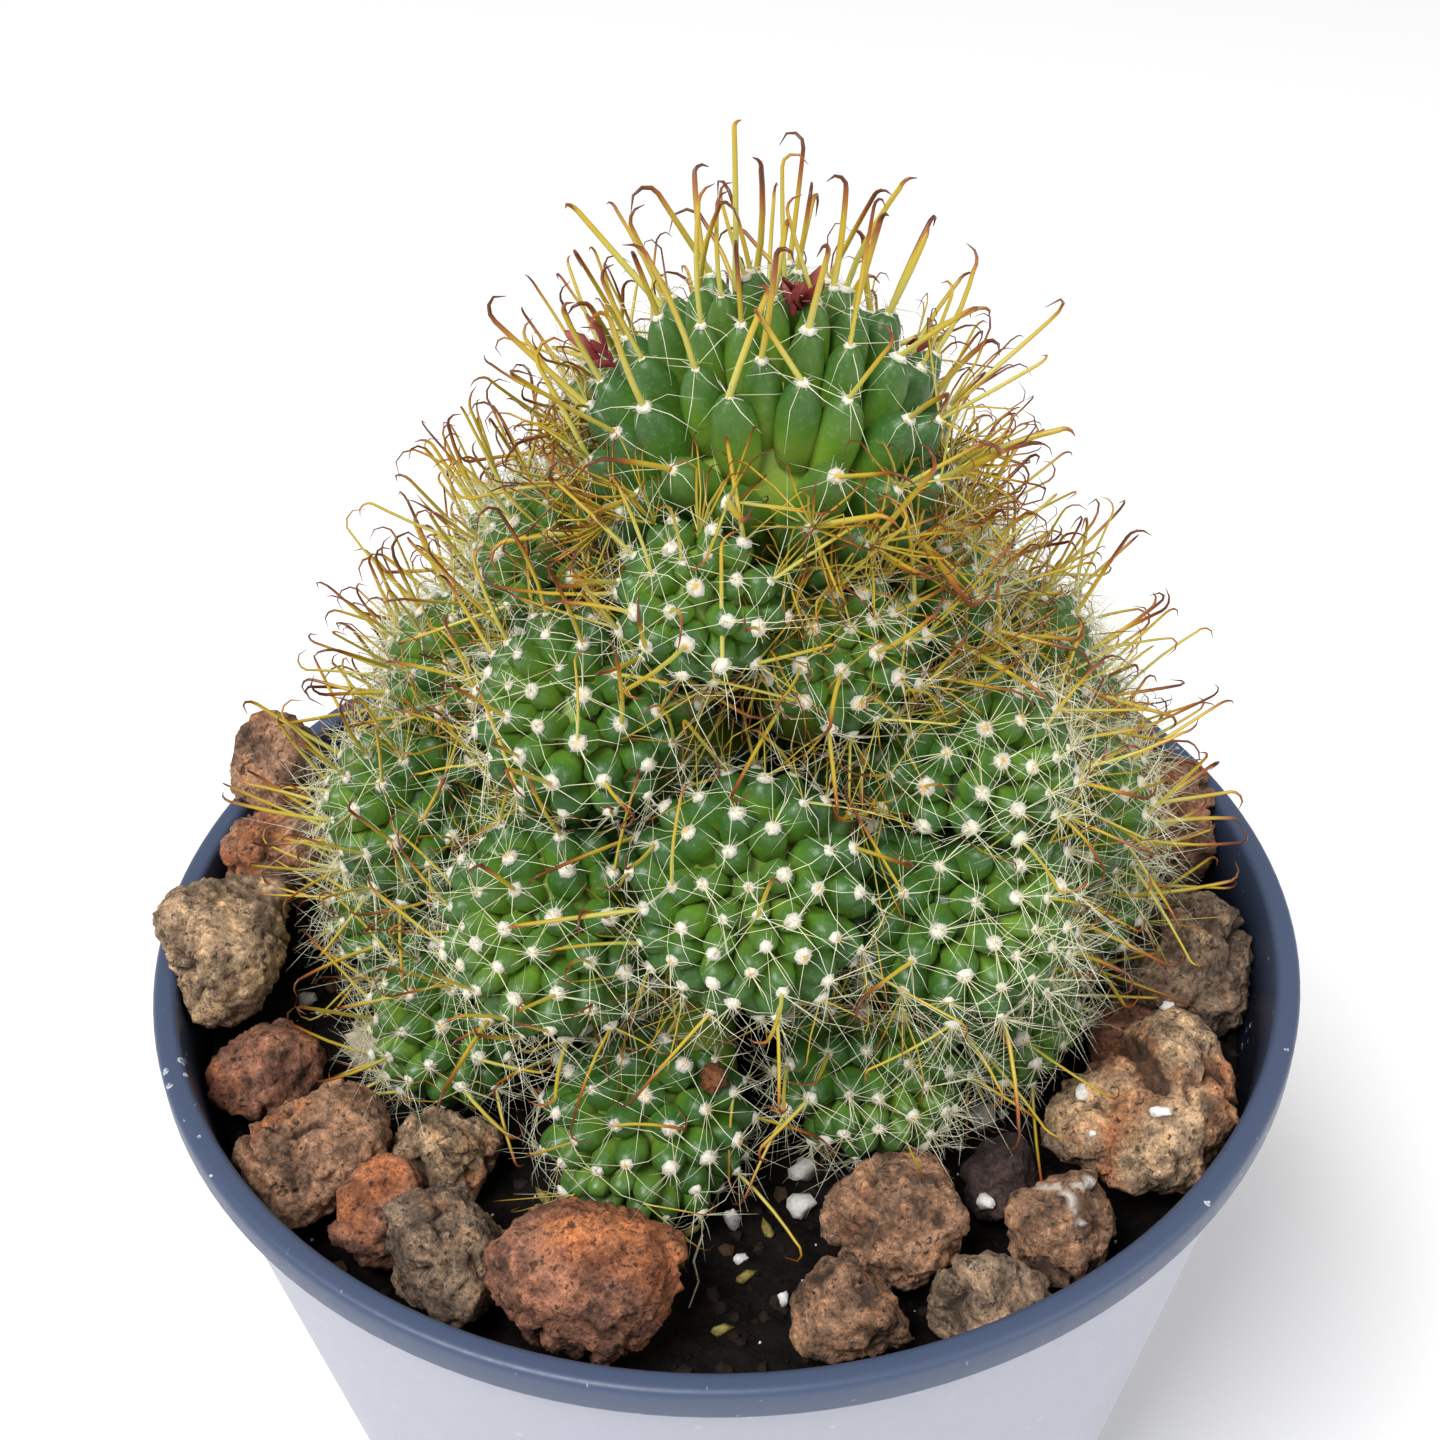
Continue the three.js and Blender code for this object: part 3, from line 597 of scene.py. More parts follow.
def soil_finish(name, soil, scale):
    """Moist potting mix: near black with brown fibres."""
    material, graph, shader, place = new_material(name, roughness=0.8, Specular_IOR_Level=0.15)
    feeds = {"Vector": place, "Scale": scale, "Light": opaque(soil.light), "Dark": opaque(soil.dark)}
    mottle = graph.group(mottle_group(), feeds)
    tone = graph.attribute("tone")
    brown = graph.mix(graph.steps(tone, 0.2, 0.9), mottle.outputs["Color"], as_seen(42, 33, 27))
    pale = graph.mix(graph.steps(tone, 0.965, 0.995), brown, as_seen(92, 70, 50))
    graph.feed(shader["Base Color"], pale)
    add_bump(graph, shader, mottle.outputs["Height"], 0.4 * MM)
    return material


def flesh_finish(name, spines, axil, scale):
    """Cactus skin: dark green tops, brighter flanks, and yellow-green axils and crowns."""
    material, graph, shader, place = new_material(name, roughness=0.36, Subsurface_Weight=0.12)
    shader["Subsurface Radius"].default_value = (0.3, 0.8, 0.15)
    shader["Subsurface Scale"].default_value = 1.2 * MM
    along = graph.attribute("along")
    tone = graph.attribute("tone")
    patch = graph.noise(place, scale, detail=3.0)
    fine = graph.noise(place, scale * 9, detail=3.0)
    wander = graph.plus(along, graph.times(graph.minus(patch, 0.5), 0.5))
    yellow = graph.times(graph.minus(1.0, graph.steps(wander, 0.2, 0.62)), axil)
    base = graph.mix(graph.steps(wander, 0.5, 0.88), opaque(spines.flank), opaque(spines.flesh))
    base = graph.mix(yellow, base, opaque(spines.axil))
    low = graph.minus(1.25, along)
    youth = graph.times(graph.times(graph.attribute("young"), low), 0.7, clamp=True)
    base = graph.mix(youth, base, opaque(spines.young))
    base = graph.mix(graph.times(tone, 0.35), base, as_seen(54, 94, 44))
    bloom = graph.times(graph.steps(fine, 0.52, 0.72), 0.24)
    base = graph.mix(bloom, base, as_seen(140, 168, 128))
    graph.feed(shader["Base Color"], base)
    graph.feed(shader["Roughness"], graph.plus(graph.times(fine, 0.3), 0.24))
    add_bump(graph, shader, fine, 0.08 * MM, 0.6)
    return material


def wool_finish(spines):
    """White wool with a warm heart where the spines come out."""
    material, graph, shader, place = new_material("areole_wool", roughness=0.95, Sheen_Weight=0.3)
    grain = graph.noise(place, 3500.0, detail=2.0)
    heart = graph.attribute("heart")
    warmth = graph.steps(graph.attribute("tone"), 0.45, 0.9)
    warmth = graph.plus(0.1, graph.times(warmth, 0.9))
    warm = graph.times(graph.steps(heart, 0.3, 0.9), warmth)
    base = graph.mix(warm, opaque(spines.wool), opaque(spines.heart))
    base = graph.mix(graph.times(grain, 0.2), base, opaque(spines.heart))
    graph.feed(shader["Base Color"], base)
    add_bump(graph, shader, grain, 0.15 * MM)
    return material


def radial_finish(spines):
    """Radial spines: pale, and yellower at the root."""
    material, graph, shader, place = new_material("radial_spine", roughness=0.4)
    along = graph.attribute("along")
    tone = graph.attribute("tone")
    root = graph.mix(tone, opaque(spines.radial), opaque(spines.root))
    base = graph.mix(graph.steps(along, 0.0, 0.6), root, opaque(spines.radial))
    glint = graph.noise(place, 1200.0, detail=1.0)
    base = graph.mix(graph.times(glint, 0.15), base, opaque(spines.shaft))
    graph.feed(shader["Base Color"], base)
    return material


def central_finish(spines):
    """Hooked spines: yellow at the root, golden along the shaft and brown-red at the hook."""
    material, graph, shader, place = new_material("central_spine", roughness=0.33)
    tone = graph.attribute("tone")
    swing = graph.times(graph.minus(tone, 0.4), 0.5)
    along = graph.plus(graph.attribute("along"), swing)
    base = graph.mix(graph.steps(along, 0.05, 0.55), opaque(spines.root), opaque(spines.shaft))
    base = graph.mix(graph.steps(along, 0.56, 0.82), base, opaque(spines.bend))
    base = graph.mix(graph.steps(along, 0.76, 0.96), base, opaque(spines.tip))
    streak = graph.noise(place, 900.0, detail=2.0)
    base = graph.mix(graph.times(streak, 0.2), base, as_seen(150, 120, 44))
    graph.feed(shader["Base Color"], base)
    return material


def lava_finish(name, tint):
    """Porous lava: sandy grain, pores and hollows darkened with painted shade, rusty patches and a white
    vein.
    """
    material, graph, shader, place = new_material(name, roughness=0.92)
    light = opaque([min(1.0, c * 1.6) for c in tint])
    dark = opaque([c * 0.42 for c in tint])
    plain = graph.group(mottle_group(), {"Vector": place, "Scale": 270.0, "Light": light, "Dark": dark})
    feeds = {"Vector": place, "Scale": 330.0, "Light": as_seen(198, 128, 82), "Dark": as_seen(124, 66, 42)}
    rust = graph.group(mottle_group(), feeds)
    base = graph.mix(graph.attribute("blush"), plain.outputs["Color"], rust.outputs["Color"])
    sand = graph.noise(place, 2600.0, detail=5.0, roughness=0.75)
    broad = graph.noise(place, 420.0, detail=2.0)
    base = graph.mix(graph.steps(broad, 0.42, 0.66), base, (1.55, 1.45, 1.3, 1.0), "MULTIPLY")
    base = graph.mix(graph.steps(broad, 0.5, 0.3), base, (0.6, 0.55, 0.52, 1.0), "MULTIPLY")
    base = graph.mix(graph.steps(sand, 0.53, 0.63), base, (1.75, 1.65, 1.5, 1.0), "MULTIPLY")
    base = graph.mix(graph.steps(sand, 0.47, 0.36), base, (0.3, 0.25, 0.24, 1.0), "MULTIPLY")
    # Painted shade: the pores and the low points of the relief are darkened
    porous = graph.noise(place, 1000.0, detail=3.0, roughness=0.65)
    pore = graph.steps(porous, 0.6, 0.68)
    hollow_shade = graph.steps(graph.attribute("worn"), 0.5, 0.12)
    shade = graph.math("MAXIMUM", graph.times(pore, 0.8), graph.times(hollow_shade, 0.75))
    base = graph.mix(shade, base, as_seen(40, 28, 24))
    base = graph.mix(graph.attribute("vein"), base, as_seen(226, 220, 208))
    graph.feed(shader["Base Color"], base)
    height = graph.plus(graph.times(plain.outputs["Height"], 0.6), sand)
    add_bump(graph, shader, graph.minus(height, graph.times(pore, 0.5)), 0.35 * MM)
    return material


def petal_finish(spines):
    """Withered petals: dark red and papery, paler towards the tips."""
    material, graph, shader, place = new_material("withered_petal", roughness=0.7)
    vein = graph.noise(place, 1600.0, detail=3.0)
    pale = graph.times(graph.steps(graph.attribute("along"), 0.2, 1.1), graph.attribute("tone"))
    base = graph.mix(pale, opaque(spines.flower), as_seen(190, 104, 96))
    base = graph.mix(graph.times(vein, 0.5), base, as_seen(58, 14, 16))
    graph.feed(shader["Base Color"], base)
    add_bump(graph, shader, vein, 0.1 * MM)
    return material


def grainy_finish(name, light, dark, roughness, scale):
    """A plain grainy finish for small loose bits, from two colours as they are seen."""
    material, graph, shader, place = new_material(name, roughness=roughness)
    feeds = {"Vector": place, "Scale": scale, "Light": as_seen(*light), "Dark": as_seen(*dark)}
    mottle = graph.group(mottle_group(), feeds)
    graph.feed(shader["Base Color"], mottle.outputs["Color"])
    add_bump(graph, shader, mottle.outputs["Height"], 0.2 * MM)
    return material


def settings():
    """The sizes and colours of the scene."""
    return bpy.context.scene.cactus


def mesh_of(name, points, faces, smooth=True):
    """A mesh of points and faces."""
    mesh = bpy.data.meshes.new(name)
    mesh.from_pydata([tuple(p) for p in points], [], faces)
    mesh.update()
    if smooth:
        mesh.shade_smooth()
    return mesh


def new_object(name, data):
    """An object in the scene, of a mesh, a light or a camera."""
    thing = bpy.data.objects.new(name, data)
    bpy.context.scene.collection.objects.link(thing)
    return thing


def finished(name, mesh, nodes=(), material=None):
    """A finished piece: it rides on the root body and stands for the nodes."""
    mesh.name = name
    if material:
        mesh.materials.clear()
        mesh.materials.append(material)
    piece = new_object(name, mesh)
    if nodes:
        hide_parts(*nodes)
    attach(piece, "root")
    return piece


def plain_copy(thing):
    """A plain mesh of an object with its modifiers applied. The object is removed."""
    graph = bpy.context.evaluated_depsgraph_get()
    mesh = bpy.data.meshes.new_from_object(thing.evaluated_get(graph))
    bpy.data.objects.remove(thing)
    return mesh


def put(mesh, name, kind, values):
    """Stores values as a point attribute."""
    attribute = mesh.attributes.new(name, kind, "POINT")
    key = "vector" if kind == "FLOAT_VECTOR" else "value"
    attribute.data.foreach_set(key, np.asarray(values).ravel())


def places_of(mesh):
    """The places of a mesh's points, as rows."""
    places = np.empty(len(mesh.vertices) * 3, np.float32)
    mesh.vertices.foreach_get("co", places)
    return places.reshape(-1, 3).astype(float)


def set_places(mesh, places):
    """Moves a mesh's points."""
    mesh.vertices.foreach_set("co", places.astype(np.float32).ravel())
    mesh.update()


def unit(vectors):
    """The same ways, one long."""
    return vectors / np.maximum(np.linalg.norm(vectors, axis=-1, keepdims=True), 1e-12)


def lathe_faces(rings, sides, first=0):
    """Faces of a closed lathe: a pole, rings of points and a pole."""
    faces = []
    for i in range(sides):
        faces.append((first, first + 1 + i, first + 1 + (i + 1) % sides))
    for ring in range(rings - 1):
        low = first + 1 + ring * sides
        for i in range(sides):
            after = (i + 1) % sides
            faces.append((low + i, low + sides + i, low + sides + after, low + after))
    low = first + 1 + (rings - 1) * sides
    last = low + sides
    for i in range(sides):
        faces.append((last, low + (i + 1) % sides, low + i))
    return faces


def lathe(name, profile, sides):
    """A closed solid turned about +Z from a profile of (radius, height) that runs from axis to axis,
    first the upper end for an outer skin that faces outwards."""
    angles = np.arange(sides) * 2 * math.pi / sides
    points = [(0, 0, profile[0][1])]
    for radius, height in profile[1:-1]:
        points += [(radius * math.cos(a), radius * math.sin(a), height) for a in angles]
    points.append((0, 0, profile[-1][1]))
    return mesh_of(name, points, lathe_faces(len(profile) - 2, sides))


def arc(centre, radius, start, end, steps=5):
    """Points of an arc in the plane of a profile, by angles in degrees."""
    turns = [math.radians(start + (end - start) * i / steps) for i in range(steps + 1)]
    return [(centre[0] + radius * math.cos(t), centre[1] + radius * math.sin(t)) for t in turns]


def from_axis(places, x=0.0, y=0.0):
    """Level distance of places from an upright line."""
    return np.hypot(places[:, 0] - x, places[:, 1] - y)


def inner_radius(height):
    """The pot's inner radius at a height."""
    pot = settings().pot
    lip_bottom = POT_HEIGHT - pot.lip_height
    outer = pot.foot_radius + (pot.top_radius - pot.foot_radius) * height / lip_bottom
    return np.minimum(outer - pot.wall, RIM_RADIUS - pot.lip_width)


def soil_height(x, y):
    """Height of the soil's smooth heap."""
    reach = np.hypot(x, y) / RIM_RADIUS
    towards_heap = np.maximum(0, np.cos(np.arctan2(y, x) - HEAP_BEARING))
    ripple = RIPPLE_HEIGHT * np.sin(RIPPLE_ALONG_X * x + RIPPLE_START) * np.cos(RIPPLE_ALONG_Y * y)
    return SOIL_LEVEL + HEAP_RISE * towards_heap**2 * reach**2 + ripple


@dataclass
class Head:
    """One head of the clump: its centre, radius, axis and the planes that part it from its neighbours."""

    number: int
    centre: np.ndarray
    radius: float
    axis: np.ndarray
    hooks: float
    planes: list = field(default_factory=list)


def node_box(node):
    """Centre and half sizes of a node of the frame."""
    low, high = (np.array(corner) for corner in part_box(node))
    return (low + high) / 2, (high - low) / 2


ROCK_NODES = sorted(name for name in frame["nodes"] if name.startswith("lava_rock_"))
ROCK_BOXES = [node_box(name) for name in ROCK_NODES]
OFFSET_NODES = sorted(name for name in frame["nodes"] if name.startswith("offset_"))
SLOT_OF = {part["node"]: part["material_slot"] for part in frame["record"]["subparts"]}


def make_heads():
    """The heads, each with the planes where it would press on its neighbours."""
    heads = []
    for number, (x, y, above_rim, radius, hooks) in enumerate(HEADS):
        centre = np.array((x * MM, y * MM, POT_HEIGHT + above_rim * MM))
        squares = np.array((MOUND_RADIUS**2, MOUND_RADIUS**2, MOUND_RISE**2))
        axis = unit((centre - MOUND_CENTRE) / squares)
        heads.append(Head(number, centre, radius * MM, axis, hooks))
    heads[0].axis = UP
    lumps = [(head.centre, head.radius) for head in heads]
    lumps += [(centre, float(np.mean(half))) for centre, half in ROCK_BOXES]
    for head in heads:
        for centre, radius in lumps:
            between = float(np.linalg.norm(centre - head.centre))
            if 0 < between < (head.radius + radius) * BODY_LENGTH_SHARE:
                distance = (between**2 + head.radius**2 - radius**2) / (2 * between) - GAP / 2
                head.planes.append(((centre - head.centre) / between, distance))
    return heads


def across(axis):
    """Two directions square to an axis and to each other."""
    level = np.cross(axis, UP)
    if np.linalg.norm(level) < 1e-6:
        level = np.array((1.0, 0.0, 0.0))
    level = unit(level)
    return level, np.cross(axis, level)


def tubercles_of(head, how, random):
    """Where a head's tubercles stand, in the spiral of a growing tip, smaller towards the crown."""
    tilts = np.linspace(0, SPIRAL_END, SPIRAL_STEPS)
    sizes = how.crown + (1 - how.crown) * np.clip(tilts / GROWN_TILT, 0, 1)
    wide = 0.85 * head.radius
    spacing = how.spacing
    if head.number:
        spacing *= 0.58 + 0.42 * head.radius / USUAL_RADIUS
    lift = 0.0
    if head.number and head.centre[2] > RISING_HEIGHT:
        lift = RISE + RISE_LEFT * (head.centre[0] < RISING_LEFT)
    each = math.sqrt(3) / 2 * (spacing * sizes) ** 2
    density = 2 * math.pi * wide**2 * np.sin(tilts) / each
    total = np.concatenate(([0], np.cumsum((density[1:] + density[:-1]) / 2 * np.diff(tilts))))
    number = np.arange(int(total[-1]))
    tilt = np.interp(number + 0.5, total, tilts)
    size = np.interp(tilt, tilts, sizes)
    wander = STRAY * spacing / head.radius
    tilt = tilt + random.normal(0, wander, len(number)) * size
    turn = number * GOLDEN_ANGLE + head.number + random.normal(0, wander, len(number))
    level, up = across(head.axis)
    around = np.outer(np.cos(turn), level) + np.outer(np.sin(turn), up)
    facing = np.outer(np.cos(tilt), head.axis) + np.sin(tilt)[:, None] * around
    to_crown = unit(np.outer(np.sin(tilt), head.axis) - np.cos(tilt)[:, None] * around)
    foot_way = unit(facing - how.lean * np.sin(tilt)[:, None] * to_crown)
    reach = head.radius * (1 + random.normal(0, STRAY_REACH, len(number)))[:, None]
    tip = head.centre + reach * facing
    bare = np.zeros(len(number), bool)
    pale = np.zeros(len(number))
    if how.parting:
        for way, strength in PARTINGS:
            beside = (tip - (head.centre + head.radius * unit(np.array(way)))) * PARTING_SHAPE
            apart = np.linalg.norm(beside, axis=1)
            near = strength * np.exp(-((apart / PARTING_REACH) ** 2))
            tip = tip + unit(beside) * (how.parting * near)[:, None]
            bare |= apart < PARTING_BARE * strength
            pale = np.maximum(pale, near)
    foot = head.centre + how.core_share * 0.86 * head.radius * foot_way
    pressed = np.full(len(number), -1.0)
    for normal, distance in head.planes:
        pressed = np.maximum(pressed, (tip - head.centre) @ normal - distance)
    above_soil = tip[:, 2] - soil_height(tip[:, 0], tip[:, 1])
    tubercles = {
        "tip": tip, "foot": foot, "axis": unit(tip - foot), "height": np.linalg.norm(tip - foot, axis=1),
        "width": spacing * how.width_share / 2 * size, "size": size, "pale": pale,
        "free": pressed < FREE_PRESSED, "side": np.clip((tilt - 0.6) / 0.6, 0, 1),
        "head": np.full(len(number), head.number), "hooks": np.full(len(number), head.hooks),
        "lift": np.full(len(number), lift),
    }
    return chosen(tubercles, (pressed < MOST_PRESSED) & (above_soil > ABOVE_SOIL) & ~bare)


def chosen(tubercles, which):
    """The tubercles that a mask picks out."""
    return {key: values[which] for key, values in tubercles.items()}


def joined(rows):
    """The tubercles of several heads as one."""
    return {key: np.concatenate([row[key] for row in rows]) for key in rows[0]}


def turned_points(name, places, axes, stretches, random, heads=0, young=0.0):
    """A mesh of points, each with the turn and the stretch of the copy that goes on it."""
    mesh = bpy.data.meshes.new(name)
    mesh.vertices.add(len(places))
    set_places(mesh, places)
    turns = []
    for axis in axes:
        level, up = across(axis)
        spin = random.uniform(0, 2 * math.pi)
        side = math.cos(spin) * level + math.sin(spin) * up
        matrix = Matrix((side, np.cross(axis, side), axis)).transposed()
        turns.append(tuple(matrix.to_quaternion()))
    put(mesh, "turn", "QUATERNION", turns)
    put(mesh, "stretch", "FLOAT_VECTOR", stretches)
    put(mesh, "head", "INT", np.broadcast_to(heads, len(places)))
    put(mesh, "young", "FLOAT", np.broadcast_to(young, len(places)))
    return mesh


def named_attribute(graph, name, kind):
    """An attribute of the geometry, as a socket."""
    return graph.add("GeometryNodeInputNamedAttribute", {"Name": name}, data_type=kind).outputs[0]


def placing_tree():
    """Geometry nodes: a turned and stretched copy of one object on each point."""
    name = "Place copies"
    if name in bpy.data.node_groups:
        return bpy.data.node_groups[name]
    graph, given, out = geometry_tree(name, {"Copy": "Object", "Size": "Float", "Seed": "Int"})
    feeds = {0: named_attribute(graph, "stretch", "FLOAT_VECTOR"), "Scale": given["Size"]}
    stretch = graph.add("ShaderNodeVectorMath", feeds, operation="SCALE").outputs[0]
    turn = named_attribute(graph, "turn", "QUATERNION")
    put_copies(graph, given["Geometry"], turn, stretch, given, out)
    return graph.tree


def drawn(graph, seed, kind="FLOAT"):
    """A random value node for each copy."""
    return graph.add("FunctionNodeRandomValue", {"Seed": seed}, data_type=kind)


def put_copies(graph, points, turn, scale, given, out):
    """Puts a copy on each point and gives it a tone of its own."""
    copy = graph.add("GeometryNodeObjectInfo", {"Object": given["Copy"]}).outputs["Geometry"]
    feeds = {"Points": points, "Instance": copy, "Rotation": turn, "Scale": scale}
    placed = graph.add("GeometryNodeInstanceOnPoints", feeds).outputs[0]
    toned = graph.add("GeometryNodeStoreNamedAttribute", {"Geometry": placed, "Name": "tone"},
                      data_type="FLOAT", domain="INSTANCE")
    graph.feed(toned.inputs["Value"], drawn(graph, given["Seed"]).outputs["Value"])
    finish_tree(graph, toned.outputs[0], given, out)


def finish_tree(graph, geometry, given, out):
    """Ends a geometry tree: makes everything real and gives it the finish."""
    real = graph.add("GeometryNodeRealizeInstances", {"Geometry": geometry}).outputs[0]
    finish = graph.add("GeometryNodeSetMaterial", {"Geometry": real, "Material": given["Finish"]})
    graph.feed(out["Geometry"], finish.outputs[0])


def strewing_tree():
    """Geometry nodes: copies strewn over the open part of a surface, each turned its own way."""
    name = "Strew copies"
    if name in bpy.data.node_groups:
        return bpy.data.node_groups[name]
    inputs = {"Copy": "Object", "Size": "Float", "Density": "Float", "Seed": "Int"}
    graph, given, out = geometry_tree(name, inputs)
    density = graph.times(given["Density"], named_attribute(graph, "open", "FLOAT"))
    feeds = {"Mesh": given["Geometry"], "Density": density, "Seed": given["Seed"]}
    points = graph.add("GeometryNodeDistributePointsOnFaces", feeds).outputs["Points"]
    turn = drawn(graph, given["Seed"], "FLOAT_VECTOR")
    turn.inputs["Max"].default_value = (2 * math.pi, 2 * math.pi, 2 * math.pi)
    spread = graph.math("POWER", drawn(graph, given["Seed"]).outputs["Value"], 2.0)
    scale = graph.times(given["Size"], graph.plus(0.35, spread))
    put_copies(graph, points, turn.outputs["Value"], scale, given, out)
    return graph.tree


def sweeping_tree():
    """Geometry nodes: a round, tapering strand along each line of points."""
    name = "Sweep strands"
    if name in bpy.data.node_groups:
        return bpy.data.node_groups[name]
    graph, given, out = geometry_tree(name, {"Girth": "Float", "Sides": "Int"})
    lines = graph.add("GeometryNodeMeshToCurve", {"Mesh": given["Geometry"]}).outputs[0]
    ring = graph.add("GeometryNodeCurvePrimitiveCircle", {"Resolution": given["Sides"], "Radius": 1.0})
    girth = graph.times(given["Girth"], named_attribute(graph, "girth", "FLOAT"))
    feeds = {"Curve": lines, "Profile Curve": ring.outputs[0], "Scale": girth, "Fill Caps": True}
    strand = graph.add("GeometryNodeCurveToMesh", feeds).outputs[0]
    smooth = graph.add("GeometryNodeSetShadeSmooth", {"Geometry": strand}).outputs[0]
    finish_tree(graph, smooth, given, out)
    return graph.tree


def grown(mesh, tree, values):
    """The plain mesh that a geometry tree makes from a mesh of points, lines or faces."""
    holder = new_object("growing", mesh)
    modifier = holder.modifiers.new("Grow", "NODES")
    modifier.node_group = tree
    for item in tree.interface.items_tree:
        if item.in_out == "INPUT" and item.name in values:
            modifier[item.identifier] = values[item.name]
    return plain_copy(holder)


def grown_copies(mesh, tree, pattern, **values):
    """Copies of a pattern mesh, placed by a tree."""
    values["Copy"] = new_object("pattern", pattern)
    copies = grown(mesh, tree, values)
    bpy.data.objects.remove(values["Copy"])
    return copies


def placed_copies(points, pattern, finish, seed):
    """A copy of a pattern mesh on each point."""
    return grown_copies(points, placing_tree(), pattern, Size=1.0, Seed=seed, Finish=finish)


def strewn_copies(surface, name, size, density, finish):
    """Rough crumbs strewn over the open part of a surface."""
    pattern = crumb_pattern(name, np.random.default_rng(DRAWS[name]))
    return grown_copies(surface.copy(), strewing_tree(), pattern, Size=size, Density=density,
                        Seed=DRAWS["strewn_" + name], Finish=finish)


def swept_strands(paths, girths, alongs, tones, girth, sides, finish):
    """Round strands along lines of points, as a plain mesh."""
    lines = strands(paths, girths, alongs, tones)
    return grown(lines, sweeping_tree(), {"Girth": girth, "Sides": sides, "Finish": finish})


def strands(paths, girths, alongs, tones):
    """A mesh of lines: paths is (lines, points, 3), girths and alongs are (points) and tones is (lines).
    The girth also differs by line."""
    lines, points = paths.shape[:2]
    mesh = bpy.data.meshes.new("strands")
    mesh.vertices.add(lines * points)
    set_places(mesh, paths.reshape(-1, 3))
    starts = (np.arange(lines)[:, None] * points + np.arange(points - 1)).ravel()
    mesh.edges.add(len(starts))
    mesh.edges.foreach_set("vertices", np.stack((starts, starts + 1), axis=1).ravel())
    sturdy = 0.75 + 0.5 * ((tones * 7.3) % 1)
    put(mesh, "girth", "FLOAT", np.outer(sturdy, girths))
    put(mesh, "along", "FLOAT", np.tile(alongs, lines))
    put(mesh, "tone", "FLOAT", np.repeat(tones, points))
    return mesh


def press_back(mesh, heads):
    """Presses flesh flat where a head meets its neighbours, and stops it just under the soil."""
    places = places_of(mesh)
    owner = np.empty(len(places), np.int32)
    mesh.attributes["head"].data.foreach_get("value", owner)
    for head in heads:
        mine = owner == head.number
        offsets = places[mine] - head.centre
        for normal, distance in head.planes:
            over = np.maximum(offsets @ normal - distance, 0)
            offsets -= over[:, None] * normal
        places[mine] = head.centre + offsets
    ground = soil_height(places[:, 0], places[:, 1]) - 1.5 * MM
    places[:, 2] = np.maximum(places[:, 2], ground)
    set_places(mesh, places)


def is_clear(paths, owners, heads, margin):
    """Whether each path stays clear of the other heads, the rocks, the soil and the pot."""
    points = paths.reshape(-1, 3)
    owner = np.repeat(owners, paths.shape[1])
    centres = np.array([head.centre for head in heads])
    radii = np.array([head.radius for head in heads])
    own_power = np.sum((points - centres[owner]) ** 2, axis=1) - radii[owner] ** 2
    good = np.ones(len(points), bool)
    for head in heads:
        squared = np.sum((points - head.centre) ** 2, axis=1)
        inside = squared < (head.radius + margin) ** 2
        theirs = squared - head.radius**2 < own_power
        good &= ~(inside & theirs & (owner != head.number))
    for centre, half in ROCK_BOXES:
        good &= np.sum(((points - centre) / (half + margin)) ** 2, axis=1) > 1
    good &= points[:, 2] > soil_height(points[:, 0], points[:, 1]) + margin
    wall = inner_radius(points[:, 2]) - margin
    good &= from_axis(points) < np.where(points[:, 2] > POT_HEIGHT + margin, RIM_RADIUS + 2 * MM, wall)
    good &= points[:, 2] < CAD_BOX[1].z + 3 * MM
    return good.reshape(paths.shape[:2]).all(axis=1)


# Stops of a hooked spine along its shaft and round its hook, how thick it is at each, and how far along
# the spine each is, from 0 at the root to 1 at the tip
SHAFT_STOPS = (-0.03, 0.3, 0.6, 0.85, 1.0)
HOOK_STOPS = (0.2, 0.42, 0.66, 1.0)
HOOK_GIRTHS = np.array((1.15, 1.05, 1.0, 0.92, 0.86, 0.76, 0.66, 0.48, 0.12))
HOOK_ALONGS = np.array((0.0, 0.22, 0.42, 0.6, 0.7, 0.8, 0.88, 0.95, 1.0))

# The stops that a dry spine keeps, how far it splays, and how often a spine is turned another way
DRY_STOPS = [0, 2, 4, 6, 7, 8]
DRY_SPREAD = 1.1
TRIES = 8

# Stops of a radial spine, how thick it is at each, the share that sparse heads have lost, and the wool
# fibres of a tuft
RADIAL_STOPS = (0.0, 0.5, 1.0)
RADIAL_GIRTHS = np.array((1.1, 0.8, 0.15))
RADIAL_LOSS = 0.45
FIBRES = 7


def hooked_path(root, way, side, bow, shaft, hook, turn):
    """Lines of hooked spines: a slightly bowed shaft and then the hook's arc."""
    paths = []
    for part in SHAFT_STOPS:
        paths.append(root + way * (shaft * part)[:, None] + bow * (part**2 * shaft)[:, None])
    end = paths[-1]
    for part in HOOK_STOPS:
        angle = turn * part
        forward = way * (hook * np.sin(angle))[:, None]
        sideways = side * (hook * (1 - np.cos(angle)))[:, None]
        paths.append(end + forward + sideways)
    return np.stack(paths, axis=1)


